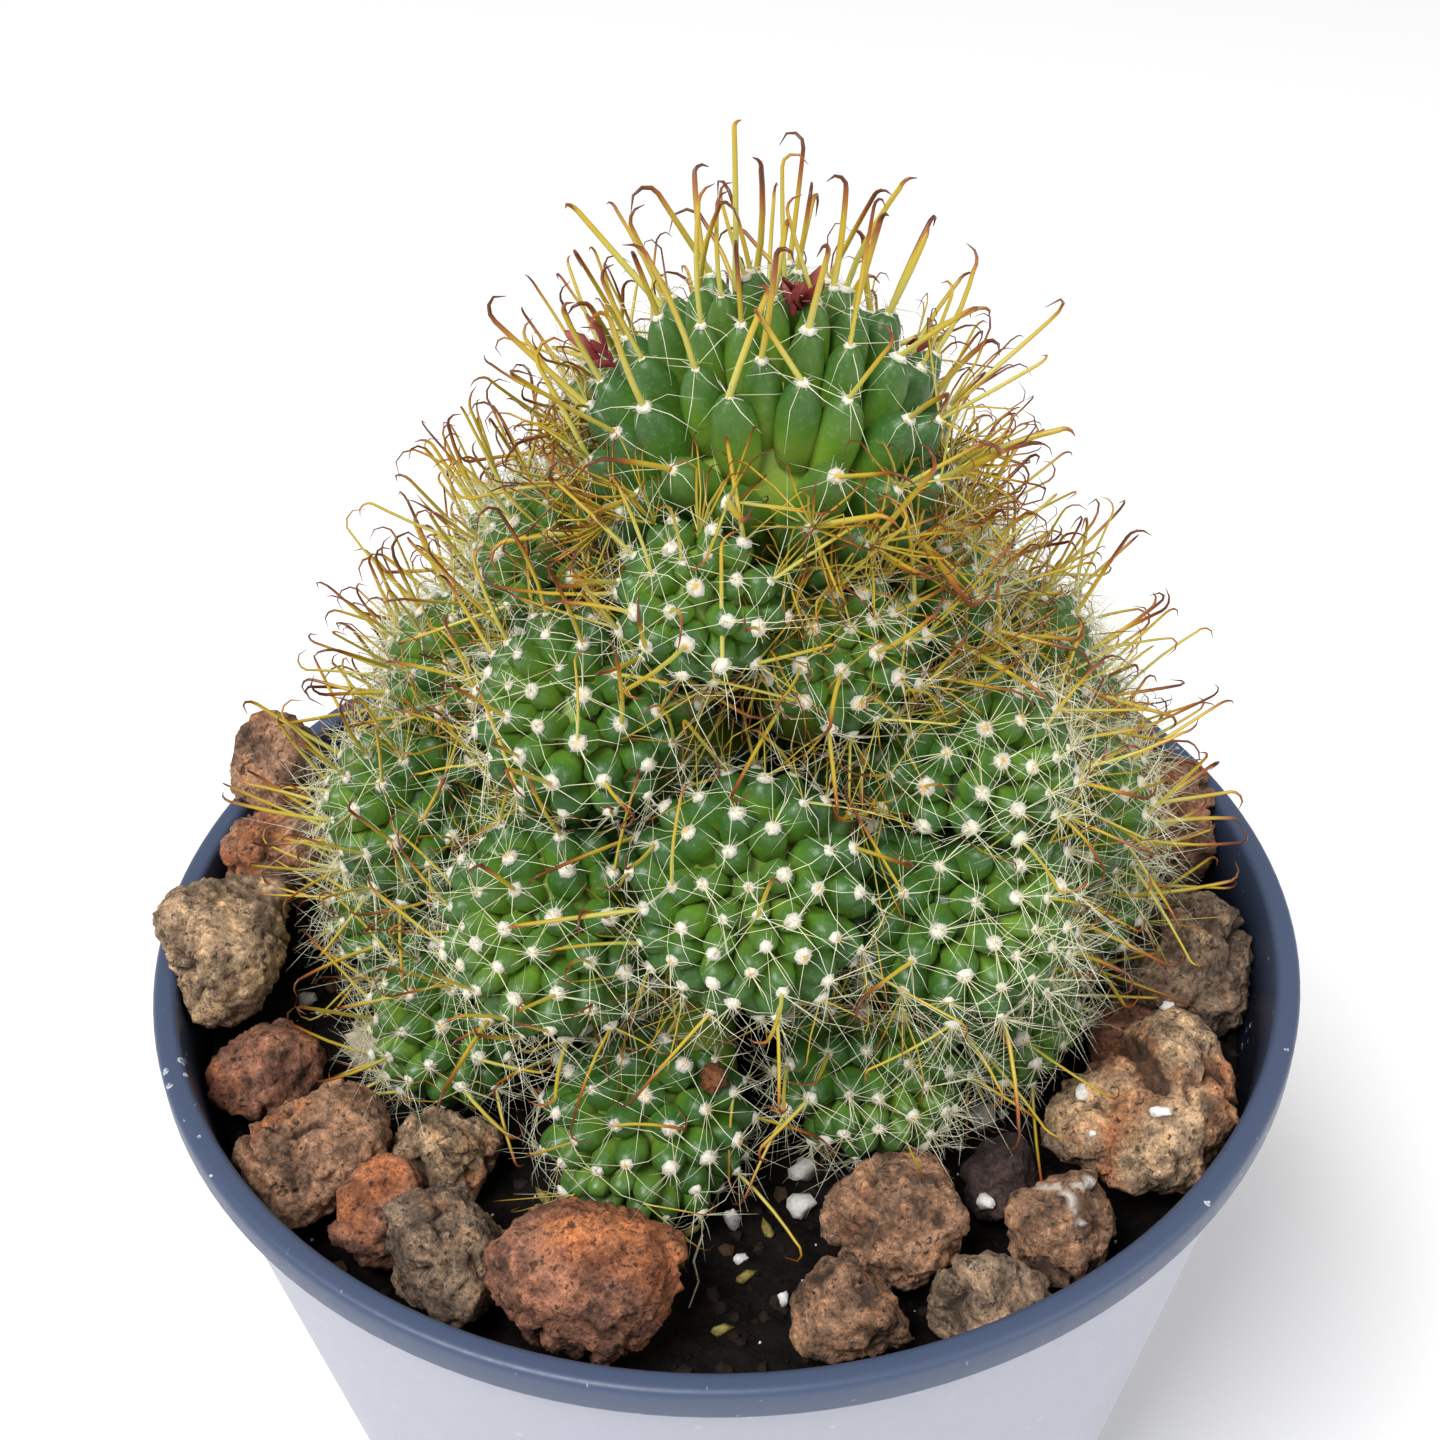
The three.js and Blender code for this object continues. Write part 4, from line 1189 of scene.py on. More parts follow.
def hooked_spines(tubercles, bearers, spread, mean, hook, heads, random):
    """A hooked spine from each bearer, turned another way where it would touch something."""
    waiting = bearers
    kept = []
    for _ in range(TRIES):
        if not len(waiting):
            break
        number = len(waiting)
        bearing = chosen(tubercles, waiting)
        scatter = unit(random.normal(size=(number, 3)))
        splay = spread * (1 + bearing["side"]) * random.uniform(0.2, 1.1, number)
        way = unit(bearing["axis"] + scatter * splay[:, None] + bearing["lift"][:, None] * UP)
        side = unit(np.cross(way, unit(random.normal(size=(number, 3)))))
        bow = side * random.uniform(-0.12, 0.22, number)[:, None]
        shaft = mean * random.uniform(0.66, 1.25, number) * (0.6 + 0.4 * bearing["size"])
        bend = hook * random.uniform(0.6, 1.35, number)
        turn = np.radians(random.uniform(85, 190, number))
        paths = hooked_path(bearing["tip"], way, side, bow, shaft, bend, turn)
        fits = is_clear(paths[:, 1:], bearing["head"], heads, 0.3 * MM)
        kept.append(paths[fits])
        waiting = waiting[~fits]
    return np.concatenate(kept)


def central_paths(tubercles, heads, how, spines, random):
    """One hooked spine to a tubercle: on the offsets more to the sides than to the crowns."""
    chance = tubercles["hooks"] * (1 + 0.5 * tubercles["side"])
    bearers = np.flatnonzero(tubercles["free"] & (random.random(len(chance)) < chance))
    paths = hooked_spines(tubercles, bearers, how.central_spread, how.central_length, spines.hook,
                          heads, random)
    if how.crown_spine:
        mother = heads[0]
        root = (mother.centre + mother.radius * np.array(CROWN_SPINE_WAY))[None]
        side = np.array(((1.0, 0.0, 0.0),))
        bow = side * -0.02
        sizes = [np.array((size,)) for size in (how.crown_spine, CROWN_SPINE_HOOK, CROWN_SPINE_TURN)]
        longest = hooked_path(root, np.array((CROWN_SPINE_AXIS,)), side, bow, *sizes)
        paths = np.concatenate((paths, longest))
    return paths


def dry_paths(tubercles, heads, how, spines, random):
    """Thin dry spines of the old tubercles, tangled in the furrows between the heads."""
    old = ~tubercles["free"] | ((tubercles["head"] == 0) & (tubercles["side"] > 0.95))
    tangled = np.zeros(len(old), bool)
    for x, y, above_rim, reach in TANGLES:
        place = np.array((x * MM, y * MM, POT_HEIGHT + above_rim * MM))
        tangled |= np.linalg.norm(tubercles["tip"] - place, axis=1) < reach * MM
    each = np.where(tangled, 3, 1) * how.dry * (0.45 + 0.55 * np.minimum(tubercles["hooks"] * 1.6, 1))
    each = np.where(old, np.round(each), np.where(tangled, 2, 0)).astype(int)
    bearers = np.repeat(np.arange(len(old)), each)
    hook = 0.9 * spines.hook
    paths = hooked_spines(tubercles, bearers, DRY_SPREAD, spines.dry_length, hook, heads, random)
    return paths[:, DRY_STOPS]


def radial_paths(tubercles, heads, how, random):
    """Thin spines that spread from each tuft like a star, shorter where something is in the way."""
    each = how.radials
    number = len(tubercles["tip"]) * each
    owner = np.repeat(np.arange(len(tubercles["tip"])), each)
    axis = tubercles["axis"][owner]
    helper = unit(np.cross(axis, unit(random.normal(size=3))))
    other = np.cross(axis, helper)
    turn = np.tile(np.arange(each) * 2 * math.pi / each, len(tubercles["tip"]))
    turn = turn + random.normal(0, 0.4, number) + owner
    around = np.cos(turn)[:, None] * helper + np.sin(turn)[:, None] * other
    rise = np.radians(random.uniform(2, 58, number))
    way = np.cos(rise)[:, None] * around + np.sin(rise)[:, None] * axis
    hang = np.where(tubercles["head"][owner] == 0, 0.55, 0.0)[:, None]
    way = unit(way - hang * UP)
    size = (0.6 + 0.4 * tubercles["size"][owner]) * random.uniform(0.3, 1.35, number)
    reach = how.radial_length * size
    bare = np.isin(tubercles["head"][owner], SPARSE_HEADS) & (random.random(number) < RADIAL_LOSS)
    droop = random.uniform(-0.5, 0.2, number)
    root = tubercles["tip"][owner] + axis * 0.15 * MM
    kept = []
    waiting = np.flatnonzero(~bare)
    sideways = np.cross(axis, way) * random.normal(0, 0.25, number)[:, None]
    for shrink in (1.0, 0.6):
        along = (reach[waiting] * shrink)[:, None]
        bend = axis[waiting] * droop[waiting][:, None] + sideways[waiting]
        stops = [root[waiting] + (way[waiting] * part + bend * part**2) * along for part in RADIAL_STOPS]
        paths = np.stack(stops, axis=1)
        fits = is_clear(paths[:, 1:], tubercles["head"][owner[waiting]], heads, 0.1 * MM)
        kept.append(paths[fits])
        waiting = waiting[~fits]
    return np.concatenate(kept)


def fibre_paths(tubercles, tuft, random):
    """Short wool fibres that stand out of each tuft."""
    owner = np.repeat(np.flatnonzero(tubercles["free"]), FIBRES)
    axis = tubercles["axis"][owner]
    way = unit(unit(random.normal(size=axis.shape)) + 0.6 * axis)
    size = (0.6 + 0.4 * tubercles["size"][owner]) * random.uniform(1.0, 2.2, len(owner))
    root = tubercles["tip"][owner]
    return np.stack((root, root + way * (tuft * size)[:, None]), axis=1)


def tubercle_pattern(name, sides, profile):
    """One tubercle: a plump cone with a seat for its tuft, and how far along it each point is."""
    mesh = lathe(name, profile, sides)
    put(mesh, "along", "FLOAT", np.clip(places_of(mesh)[:, 2], 0, 1))
    return mesh


def tuft_pattern(random):
    """One woolly tuft: a rough low dome with a warm heart."""
    mesh = lathe("tuft", ((0, 0.52), (0.5, 0.5), (0.92, 0), (0, -0.4)), TUFT_SIDES)
    places = places_of(mesh)
    heart = 1 - np.clip(from_axis(places), 0, 1)
    set_places(mesh, places * random.uniform(0.78, 1.22, (len(places), 1)))
    put(mesh, "heart", "FLOAT", heart)
    return mesh


def crumb_pattern(name, random, level=1):
    """A small irregular lump."""
    shape = bmesh.new()
    bmesh.ops.create_icosphere(shape, subdivisions=level, radius=1)
    for vertex in shape.verts:
        vertex.co *= random.uniform(0.65, 1.2)
    mesh = bpy.data.meshes.new(name)
    shape.to_mesh(mesh)
    shape.free()
    return mesh


def core_mesh(head, how):
    """The core that a head's tubercles stand on: a dome with a straight body behind it."""
    radius = how.core_share * head.radius
    back = head.radius * BODY_LENGTH_SHARE
    if head.number == 0:
        back = head.centre[2] - soil_height(head.centre[0], head.centre[1]) + MM
    profile = []
    for step in range(CORE_STEPS + 1):
        tilt = math.pi / 2 * step / CORE_STEPS
        profile.append((radius * math.sin(tilt), radius * math.cos(tilt)))
    body = MOTHER_STEM_RADIUS if head.number == 0 else radius * 0.9
    for part in (0.35, 0.7, 0.94):
        profile.append((radius + (body - radius) * part, -back * part))
    profile += [(body * 0.8, -back), (0, -back)]
    mesh = lathe("core", profile, CORE_SIDES)
    level, up = across(head.axis)
    turn = np.array((level, up, head.axis))
    set_places(mesh, places_of(mesh) @ turn + head.centre)
    put(mesh, "head", "INT", np.full(len(mesh.vertices), head.number, np.int32))
    # On most offsets the core, seen only in the gaps between the tubercles, takes no yellow and the
    # darkest green tone: painted shade in the gaps. The mother and the sparse heads keep yellower cores.
    yellow = 0.3 if head.number == 0 else 0.22 * (head.number in SPARSE_HEADS)
    for name, value in (("along", 0.7 - 2 * yellow), ("tone", 1 - 2 * yellow), ("young", yellow)):
        put(mesh, name, "FLOAT", np.full(len(mesh.vertices), value))
    return mesh


def join_meshes(name, meshes):
    """One mesh of several, with their attributes and the first one's material."""
    things = [new_object("part", mesh) for mesh in meshes]
    with bpy.context.temp_override(active_object=things[0], object=things[0],
                                   selected_editable_objects=things, selected_objects=things):
        bpy.ops.object.join()
    mesh = things[0].data
    mesh.name = name
    bpy.data.objects.remove(things[0])
    return mesh


def grow_heads(prefix, heads_here, heads, how, nodes, pattern):
    """Flesh, wool, radial, hooked and dry spines of some of the heads, as five pieces."""
    seed = DRAWS[prefix]
    random = np.random.default_rng(seed)
    spines = settings().spines
    tubercles = joined([tubercles_of(head, how, random) for head in heads_here])
    flesh = flesh_finish(prefix + "_flesh", spines, how.axil, 260.0)
    widths = tubercles["width"]
    stretches = np.stack((widths, widths, tubercles["height"]), axis=1)
    young = np.maximum((1 - tubercles["size"]) / (1 - how.crown), 1.6 * tubercles["pale"])
    points = turned_points("tubercles", tubercles["foot"], tubercles["axis"], stretches, random,
                           tubercles["head"], young)
    body = placed_copies(points, pattern, flesh, seed)
    body = join_meshes(prefix + "_flesh", [body] + [core_mesh(head, how) for head in heads_here])
    press_back(body, heads_here)
    finished(prefix + "_flesh", body, nodes, flesh)

    woolly = chosen(tubercles, tubercles["free"])
    tufts = how.tuft * (0.55 + 0.45 * woolly["size"]) * random.uniform(0.62, 1.25, len(woolly["tip"]))
    seats = woolly["tip"] - woolly["axis"] * 0.1 * MM
    points = turned_points("tufts", seats, woolly["axis"], np.repeat(tufts, 3), random, woolly["head"],
                           1 - woolly["size"])
    wool = wool_finish(spines)
    tuft_mesh = placed_copies(points, tuft_pattern(random), wool, seed + 1)
    fibres = fibre_paths(tubercles, how.tuft, random)
    fibre_mesh = swept_strands(fibres, np.array((1.0, 0.3)), np.array((0.0, 1.0)),
                               random.random(len(fibres)), spines.wool_girth, HAIR_SIDES, wool)
    finished(prefix + "_wool", join_meshes(prefix + "_wool", [tuft_mesh, fibre_mesh]), (), wool)

    def grow_spines(kind, paths, girths, alongs, girth, sides, finish):
        """One kind of spine on all the heads, as one piece."""
        mesh = swept_strands(paths, girths, alongs, random.random(len(paths)), girth, sides, finish)
        finished(f"{prefix}_{kind}_spines", mesh, (), finish)

    radial = radial_finish(spines)
    grow_spines("radial", radial_paths(woolly, heads, how, random), RADIAL_GIRTHS,
                np.array(RADIAL_STOPS), how.radial_girth, HAIR_SIDES, radial)
    central = central_finish(spines)
    grow_spines("hooked", central_paths(tubercles, heads, how, spines, random), HOOK_GIRTHS,
                HOOK_ALONGS, how.central_girth, SPINE_SIDES, central)
    grow_spines("dry", dry_paths(tubercles, heads, how, spines, random), HOOK_GIRTHS[DRY_STOPS],
                HOOK_ALONGS[DRY_STOPS], how.dry_girth, HAIR_SIDES, central)


class CACTUS_OT_pot(bpy.types.Operator):
    """Turn the pot, with its rounded lip, foot ring and drain holes"""

    bl_idname = "cactus.pot"
    bl_label = "Pot"

    def execute(self, context):
        pot = settings().pot
        lip_bottom = POT_HEIGHT - pot.lip_height
        inner = RIM_RADIUS - pot.lip_width
        edge = 0.35 * MM
        floor_top = pot.foot_height + pot.wall
        foot_inner = pot.foot_radius - pot.foot_width
        profile = [(0, floor_top), (inner_radius(floor_top) - pot.wall, floor_top)]
        profile += arc((inner_radius(floor_top) - pot.wall, floor_top + pot.wall), pot.wall, -90, -10)
        profile += [(inner_radius(h), h) for h in np.linspace(0.15, 1, 8) * (lip_bottom - pot.lip_height)]
        profile += arc((inner + pot.lip_round, POT_HEIGHT - pot.lip_round), pot.lip_round, 180, 90)
        profile += arc((RIM_RADIUS - pot.lip_round, POT_HEIGHT - pot.lip_round), pot.lip_round, 90, 0)
        profile += arc((RIM_RADIUS - edge, lip_bottom + edge), edge, 0, -90, 3)
        taper = pot.top_radius - pot.foot_radius
        profile += [(pot.foot_radius + taper * w, lip_bottom * w) for w in np.linspace(1, 0.02, 12)]
        profile += arc((pot.foot_radius - edge, edge), edge, 0, -90, 3)
        profile += arc((foot_inner + edge, edge), edge, -90, -180, 3)
        profile += [(foot_inner - 0.5 * MM, pot.foot_height), (0, pot.foot_height)]
        body = new_object("pot_body", lathe("pot", profile, POT_SIDES))
        drills = []
        hole = pot.hole_radius
        rod = ((0, DRILL_HALF), (hole, DRILL_HALF), (hole, -DRILL_HALF), (0, -DRILL_HALF))
        for i in range(DRAIN_HOLES):
            drill = lathe("drill", rod, DRILL_SIDES)
            turn = 2 * math.pi * i / DRAIN_HOLES
            move = Vector((pot.hole_circle * math.cos(turn), pot.hole_circle * math.sin(turn), 0))
            drill.transform(Matrix.Translation(move))
            drills.append(drill)
        cutter = new_object("drills", join_meshes("drills", drills))
        cut = body.modifiers.new("Drain holes", "BOOLEAN")
        cut.object = cutter
        cut.solver = "EXACT"
        mesh = plain_copy(body)
        bpy.data.objects.remove(cutter)
        places = places_of(mesh)
        outside = from_axis(places) > inner_radius(places[:, 2]) + pot.wall / 2
        below_lip = places[:, 2] < lip_bottom + 0.1 * MM
        below_edge = places[:, 2] < POT_HEIGHT - pot.lip_round * 1.5
        put(mesh, "wall", "FLOAT", (outside & below_lip).astype(float))
        put(mesh, "inside", "FLOAT", (~outside & below_edge).astype(float))
        mesh.shade_smooth()
        mesh.set_sharp_from_angle(angle=math.radians(40))
        finished("nursery_pot", mesh, ("pot",), pot_plastic(pot))
        return {"FINISHED"}


class CACTUS_OT_soil(bpy.types.Operator):
    """Fill the pot with crumbly soil"""

    bl_idname = "cactus.soil"
    bl_label = "Soil"

    def execute(self, context):
        soil = settings().soil
        pot = settings().pot
        bottom = pot.foot_height + pot.wall + GAP
        edge = float(inner_radius(SOIL_LEVEL)) - GAP
        profile = [(edge * r, SOIL_LEVEL) for r in np.linspace(0, 1, SOIL_RINGS + 1)]
        profile += [(float(inner_radius(bottom)) - 2 * GAP, bottom), (0, bottom)]
        mesh = lathe("soil", profile, SOIL_SIDES)
        places = places_of(mesh)
        top = places[:, 2] > SOIL_LEVEL - MM
        open_share = np.zeros(len(places))
        for index in np.flatnonzero(top):
            x, y = places[index, :2]
            point = Vector((x, y, 0.0))
            lump = noise.fractal(point / (2.6 * MM), 0.8, 2.0, 4)
            rim = np.hypot(x, y) > edge * 0.995
            places[index, 2] = soil_height(x, y) + (0 if rim else soil.relief * (lump * 0.5 - 0.35))
            open_share[index] = 1.0
        covered = np.zeros(len(places), bool)
        for x, y, above_rim, radius, _ in HEADS:
            low = POT_HEIGHT + (above_rim - radius) * MM
            if low < SOIL_LEVEL + HEAP_RISE:
                covered |= from_axis(places, x * MM, y * MM) < radius * HEAD_COVER * MM
        covered |= from_axis(places, HEADS[0][0] * MM, HEADS[0][1] * MM) < MOUND_COVER
        for centre, half in ROCK_BOXES:
            covered |= from_axis(places, *centre[:2]) < half[:2].min() * ROCK_COVER
        open_share[covered] = 0
        set_places(mesh, places)
        put(mesh, "open", "FLOAT", open_share)
        finish = soil_finish("soil_crumbs", soil, 700.0)
        crumbs = strewn_copies(mesh, "crumb", soil.crumb, soil.crumb_density, finish)
        finished("soil_crumbs", crumbs)
        finished("potting_soil", mesh, ("soil",), soil_finish("potting_soil", soil, 520.0))
        return {"FINISHED"}


# Profiles of a tubercle from its tip to its foot, as radius and height
MOTHER_TUBERCLE = (
    (0, 0.99), (0.18, 1.0), (0.36, 0.98), (0.58, 0.925), (0.8, 0.83), (0.95, 0.7), (1.0, 0.54),
    (0.96, 0.34), (0.82, 0.12), (0, -0.05),
)
OFFSET_TUBERCLE = (
    (0, 0.99), (0.34, 0.98), (0.7, 0.87), (0.94, 0.68), (1.0, 0.46), (0.9, 0.18), (0, -0.05),
)


class CACTUS_OT_mother(bpy.types.Operator):
    """Grow the mother head"""

    bl_idname = "cactus.mother"
    bl_label = "Mother head"

    def execute(self, context):
        heads = make_heads()
        pattern = tubercle_pattern("mother_tubercle", MOTHER_TUBERCLE_SIDES, MOTHER_TUBERCLE)
        grow_heads("mother", heads[:1], heads, settings().mother, ("mother_head",), pattern)
        return {"FINISHED"}


class CACTUS_OT_offsets(bpy.types.Operator):
    """Grow the offsets that crowd round the mother head"""

    bl_idname = "cactus.offsets"
    bl_label = "Offsets"

    def execute(self, context):
        heads = make_heads()
        pattern = tubercle_pattern("offset_tubercle", OFFSET_TUBERCLE_SIDES, OFFSET_TUBERCLE)
        grow_heads("offset", heads[1:], heads, settings().offsets, OFFSET_NODES, pattern)
        return {"FINISHED"}


def clamped(value, low, high):
    """The value, or the nearer limit where it lies past one."""
    return max(low, min(high, value))


def from_line(line, x, y):
    """Distance from a line of points, in millimetres."""
    nearest = math.inf
    for (x0, y0), (x1, y1) in zip(line, line[1:]):
        along = ((x - x0) * (x1 - x0) + (y - y0) * (y1 - y0)) / ((x1 - x0) ** 2 + (y1 - y0) ** 2)
        along = clamped(along, 0.0, 1.0)
        nearest = min(nearest, math.hypot(x - x0 - along * (x1 - x0), y - y0 - along * (y1 - y0)))
    return nearest


def fine_copy(node):
    """A smooth copy of a rock of the frame with a fine mesh, finer on the large rocks at the front."""
    shape = bmesh.new()
    shape.from_mesh(frame["nodes"][node].data)
    bmesh.ops.remove_doubles(shape, verts=shape.verts, dist=1e-6)
    mesh = bpy.data.meshes.new(node)
    shape.to_mesh(mesh)
    shape.free()
    crease = mesh.attributes.new("crease_edge", "FLOAT", "EDGE")
    crease.data.foreach_set("value", np.full(len(mesh.edges), EDGE_CREASE, np.float32))
    rough = new_object("rough", mesh)
    finer = rough.modifiers.new("Finer", "SUBSURF")
    centre, half = node_box(node)
    levels = 3 if half.max() > LARGE_ROCK and centre[1] < BEHIND_MOUND else 2
    finer.levels = levels
    finer.render_levels = levels
    mesh = plain_copy(rough)
    mesh.materials.clear()
    mesh.shade_smooth()
    return mesh


def weathered(node, rocks):
    """A rock of the frame with broken lumps, crevices, pores and grit, how high each point lies for the
    painted shade in its hollows, and where it is rusty and veined."""
    mesh = fine_copy(node)
    number = ROCK_NODES.index(node) + 1
    shift = Vector([number * step for step in ROCK_SHIFT])
    rust = RUST[SLOT_OF[node]]
    more_rust = MORE_RUST.get(node, 0)
    moved = []
    worn = []
    blush = []
    vein = []
    for vertex in mesh.vertices:
        place = vertex.co / rocks.lump + shift
        warp = noise.noise_vector(place * 1.3) * 0.4
        lump = 0.65
        for scale, weight in LUMPS:
            lump -= weight * abs(noise.noise(place * scale + warp))
        near, _ = noise.voronoi(place * 0.75 + warp)
        crack = max(0.0, 1 - (near[1] - near[0]) / 0.14)
        crack *= max(0.0, 0.3 + 1.6 * noise.noise(place * 0.7))
        near, cells = noise.voronoi(vertex.co / rocks.pore + shift)
        bore = 0.08 + 0.62 * max(0.0, noise.noise(cells[0] * 3.7))
        pit = min(1.0, 1.6 * max(0.0, 1 - near[0] / bore))
        grit = noise.fractal(vertex.co / (0.6 * MM) + shift, 0.7, 2.0, 3)
        wander = 0.5 * noise.noise(vertex.co / (0.8 * MM))
        push = rocks.relief * lump - rocks.crack * crack + rocks.grit * grit - rocks.pit * pit
        if node == CLEFT_NODE:
            aside = from_line(CLEFT, vertex.co.x / MM, vertex.co.y / MM) + wander
            push -= 2.2 * MM * math.exp(-((aside / 0.9) ** 2))
        push = clamped(push, -DEEPEST, HIGHEST)
        moved.append(vertex.co + vertex.normal * push)
        # How high the point lies, which darkens the hollows as painted shade
        worn.append(0.5 + push / (2 * rocks.relief))
        patch = 1.8 * noise.noise(place * 0.55 + warp) + rust + more_rust
        if node == RED_SIDE_NODE:
            patch += 1.1 * (vertex.co.x - RED_SIDE_X) / RED_SIDE_WIDTH
        blush.append(clamped(patch, 0.0, 0.85))
        aside = math.inf
        if node == VEIN_NODE:
            aside = from_line(VEIN, vertex.co.x / MM, vertex.co.y / MM) + wander
        vein.append(clamped(1.3 - aside / 0.2, 0.0, 1.0))
    set_places(mesh, np.array(moved))
    put(mesh, "worn", "FLOAT", worn)
    put(mesh, "blush", "FLOAT", blush)
    put(mesh, "vein", "FLOAT", vein)
    return mesh


class CACTUS_OT_rocks(bpy.types.Operator):
    """Weather the lava rocks"""

    bl_idname = "cactus.rocks"
    bl_label = "Lava rocks"

    def execute(self, context):
        rocks = settings().rocks
        # Without this, noise_vector draws its offsets anew in each run
        noise.seed_set(DRAWS["warp"])
        for slot in sorted({SLOT_OF[node] for node in ROCK_NODES}):
            nodes = [node for node in ROCK_NODES if SLOT_OF[node] == slot]
            finish = lava_finish(slot, getattr(rocks, slot.removeprefix("lava_")))
            meshes = [weathered(node, rocks) for node in nodes]
            finished(slot + "_rocks", join_meshes(slot, meshes), nodes, finish)
        return {"FINISHED"}


def tree_of(names):
    """A search tree of the faces of finished pieces."""
    points = []
    faces = []
    for name in names:
        mesh = bpy.data.objects[name].data
        first = len(points)
        points += [vertex.co.copy() for vertex in mesh.vertices]
        faces += [[first + index for index in face.vertices] for face in mesh.polygons]
    return BVHTree.FromPolygons(points, faces)


def on_ground(tree, x, y, lift=0.0):
    """A place on the ground, by its x, y and lift in millimetres."""
    hit = tree.ray_cast(Vector((x * MM, y * MM, CAD_BOX[1].z)), Vector((0, 0, -1)))[0]
    if hit is None:
        raise RuntimeError(f"Nothing lies under {x}, {y}")
    return hit + Vector((0, 0, lift * MM))


def small_lumps(name, places, sizes, tilt, finish, level=2):
    """Rough small lumps of given half sizes in millimetres, each leaning its own way."""
    random = np.random.default_rng(DRAWS[name])
    axes = unit(UP + tilt * random.normal(size=(len(places), 3)))
    points = turned_points(name, np.array(places), axes, np.array(sizes) * MM, random)
    pattern = crumb_pattern(name, random, level)
    pattern.shade_smooth()
    return placed_copies(points, pattern, finish, DRAWS[name])


class CACTUS_OT_bits(bpy.types.Operator):
    """Drop the white grains, the chunk, the seeds and the rootlet on the soil"""

    bl_idname = "cactus.bits"
    bl_label = "Loose bits"

    def execute(self, context):
        ground = ["potting_soil"] + sorted({SLOT_OF[node] + "_rocks" for node in ROCK_NODES})
        tree = tree_of(ground)
        white = grainy_finish("perlite", (252, 250, 246), (220, 214, 206), 0.9, 1500.0)
        places = [on_ground(tree, x, y, 0.55 * height) for x, y, _, _, height in WHITE_GRAINS]
        grains = small_lumps("grain", places, [row[2:] for row in WHITE_GRAINS], 0.25, white)
        soil = bpy.data.objects["potting_soil"].data
        grit = strewn_copies(soil, "grit", 0.22 * MM, 30000.0, white)
        finished("perlite_grains", join_meshes("perlite_grains", [grains, grit]), (), white)

        beige = grainy_finish("beige_chunk", (206, 190, 166), (150, 128, 104), 0.9, 900.0)
        x, y, *half = BEIGE_CHUNK
        chunk = small_lumps("chunk", [on_ground(tree, x, y)], [half], 0.3, beige, 3)
        finished("beige_chunk", chunk, (), beige)

        husk = grainy_finish("seed_husk", (170, 158, 84), (112, 92, 40), 0.6, 1200.0)
        places = [on_ground(tree, x, y, 0.3) for x, y in SEEDS]
        seeds = small_lumps("seed", places, [SEED_HALF] * len(SEEDS), 0.15, husk, 1)
        finished("seed_husks", seeds, (), husk)

        pale = grainy_finish("rootlet", (224, 216, 196), (176, 160, 130), 0.7, 900.0)
        path = np.array([[on_ground(tree, x, y, 0.25) for x, y in ROOTLET]])
        root = swept_strands(path, np.array(ROOTLET_GIRTHS), np.linspace(0, 1, len(ROOTLET)),
                             np.zeros(1), 0.16 * MM, SPINE_SIDES, pale)
        finished("rootlet", root, (), pale)
        return {"FINISHED"}


# Profile of a petal from its tip to its root, as radius and height
PETAL = ((0, 1.0), (0.1, 0.88), (0.17, 0.6), (0.14, 0.3), (0.06, 0.04), (0, 0))


class CACTUS_OT_flowers(bpy.types.Operator):
    """Set the withered flowers on the mother head and the dried fruit on a low head"""

    bl_idname = "cactus.flowers"
    bl_label = "Withered flowers"

    def execute(self, context):
        random = np.random.default_rng(DRAWS["flowers"])
        mother = make_heads()[0]
        roots = []
        axes = []
        sizes = []
        for way, start, long, petals in FLOWERS:
            way = unit(np.array(way))
            for _ in range(petals):
                roots.append(mother.centre + way * start * MM + random.normal(0, 0.35 * MM, 3))
                axes.append(unit(way + random.normal(0, 0.34, 3)))
                sizes.append(long * MM * random.uniform(0.6, 1.1))
        blade = lathe("petal", PETAL, PETAL_SIDES)
        places = places_of(blade)
        along = np.clip(places[:, 2], 0, 1)
        places[:, 1] = places[:, 1] * 0.22 + 0.12 * np.sin(places[:, 2] * 5) * along
        places[:, 0] += 0.1 * np.sin(places[:, 2] * 4 + 1)
        set_places(blade, places * random.uniform(0.88, 1.12, (len(places), 1)))
        put(blade, "along", "FLOAT", along)
        points = turned_points("petals", np.array(roots), np.array(axes), np.repeat(sizes, 3), random)
        finish = petal_finish(settings().spines)
        flowers = placed_copies(points, blade, finish, DRAWS["petals"])
        finished("withered_flowers", flowers, (), finish)

        x, y, above_rim, radius = FRUIT
        brown = grainy_finish("dried_fruit", (150, 92, 54), (66, 34, 22), 0.75, 1300.0)
        place = Vector((x * MM, y * MM, POT_HEIGHT + above_rim * MM))
        fruit = small_lumps("fruit", [place], [[radius] * 3], 0.2, brown, 3)
        finished("dried_fruit", fruit, (), brown)
        return {"FINISHED"}


def soft_light(name, place, side, power):
    """A square soft light that faces the plant."""
    light = bpy.data.lights.new(name, "AREA")
    light.energy = power
    light.size = side
    thing = new_object(name, light)
    thing.location = place
    thing.rotation_euler = (Vector(LIT_PLACE) - Vector(place)).to_track_quat("-Z", "Y").to_euler()


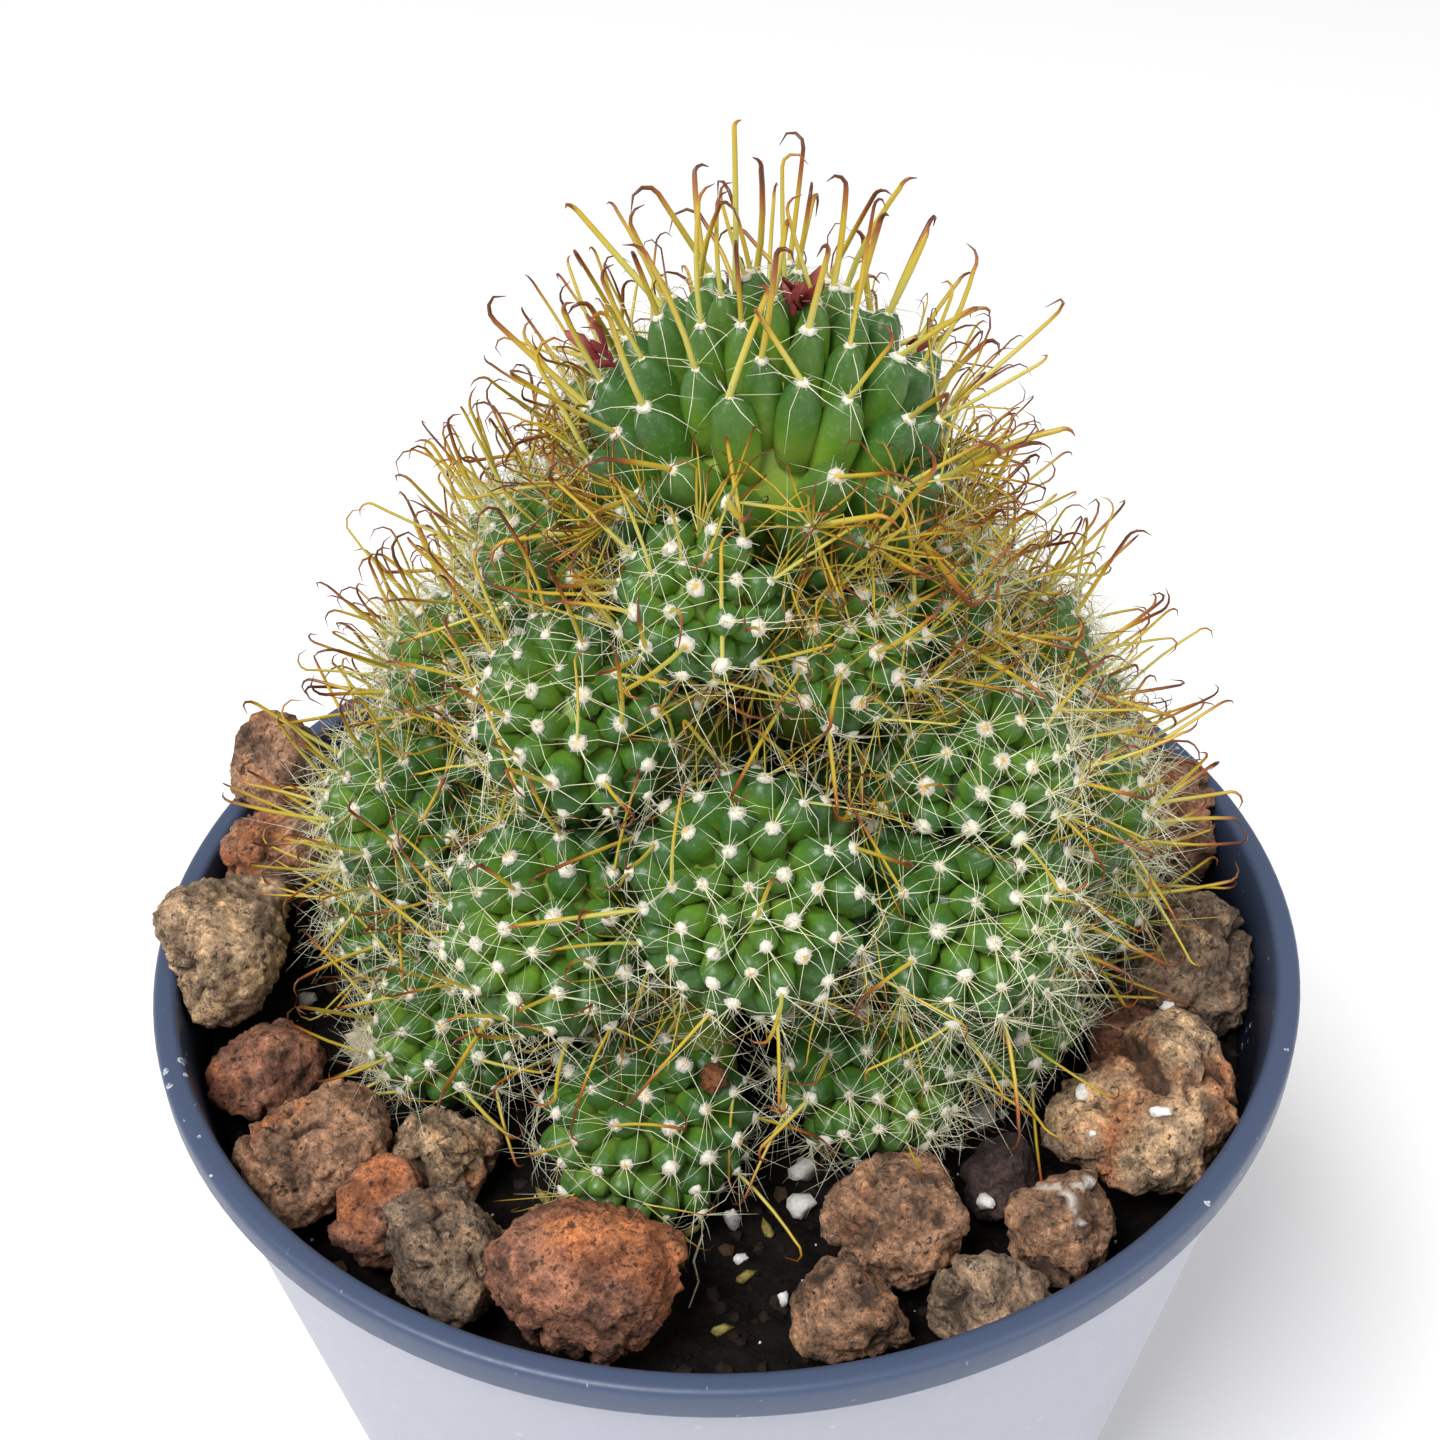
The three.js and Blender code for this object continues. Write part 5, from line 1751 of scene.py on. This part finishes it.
class CACTUS_OT_stage(bpy.types.Operator):
    """Set the pale floor, the soft light and the camera"""

    bl_idname = "cactus.stage"
    bl_label = "Stage"

    def execute(self, context):
        stage = settings().stage
        half = stage.floor_size / 2
        corners = ((-half, -half, 0), (half, -half, 0), (half, half, 0), (-half, half, 0))
        floor = new_object("floor", mesh_of("floor", corners, [(0, 1, 2, 3)], smooth=False))
        material, graph, shader, place = new_material("pale_floor", roughness=0.8)
        cloud = graph.noise(place, 3.0, detail=2.0)
        pale = opaque(stage.floor_colour)
        base = graph.mix(graph.times(cloud, 0.04), pale, (0.7, 0.7, 0.7, 1))
        graph.feed(shader["Base Color"], base)
        floor.data.materials.append(material)

        world = bpy.data.worlds.new("studio")
        world.use_nodes = True
        sky = world.node_tree.nodes["Background"].inputs
        sky["Color"].default_value = (1, 1, 1, 1)
        sky["Strength"].default_value = stage.sky
        bpy.context.scene.world = world
        for name, light_place, side in LIGHTS:
            soft_light(name, light_place, side, getattr(stage, name))
        bpy.context.scene.view_settings.view_transform = "Standard"

        camera = bpy.data.cameras.new("photograph")
        camera.lens = CAMERA_LENS
        camera.sensor_width = CAMERA_SENSOR
        camera.clip_start = 0.01
        thing = new_object("photograph", camera)
        turn = Matrix.Rotation(math.pi / 2 - CAMERA_DIP, 4, "X") @ Matrix.Rotation(CAMERA_ROLL, 4, "Z")
        thing.matrix_world = Matrix.Translation(CAMERA_PLACE) @ turn
        bpy.context.scene.camera = thing
        return {"FINISHED"}


OPERATORS = (
    CACTUS_OT_stage, CACTUS_OT_pot, CACTUS_OT_soil, CACTUS_OT_rocks, CACTUS_OT_bits, CACTUS_OT_mother,
    CACTUS_OT_offsets, CACTUS_OT_flowers,
)


class CACTUS_PT_panel(bpy.types.Panel):
    """Lists the pieces of the potted cactus"""

    bl_label = "Potted cactus"
    bl_idname = "CACTUS_PT_panel"
    bl_space_type = "VIEW_3D"
    bl_region_type = "UI"
    bl_category = "Cactus"

    def draw(self, context):
        for operator in OPERATORS:
            self.layout.operator(operator.bl_idname)


CLASSES = (
    PotSettings, SoilSettings, MotherSettings, OffsetSettings, SpineSettings, RockSettings, StageSettings,
    CactusSettings, *OPERATORS, CACTUS_PT_panel,
)


def register():
    for kind in CLASSES:
        bpy.utils.register_class(kind)
    bpy.types.Scene.cactus = PointerProperty(type=CactusSettings, name="Cactus", description="The cactus")


def unregister():
    del bpy.types.Scene.cactus
    for kind in reversed(CLASSES):
        bpy.utils.unregister_class(kind)


def main():
    """Builds the scene."""
    register()
    bpy.ops.cactus.stage()
    bpy.ops.cactus.pot()
    bpy.ops.cactus.soil()
    bpy.ops.cactus.rocks()
    bpy.ops.cactus.bits()
    bpy.ops.cactus.mother()
    bpy.ops.cactus.offsets()
    bpy.ops.cactus.flowers()


if __name__ == "__main__":
    main()
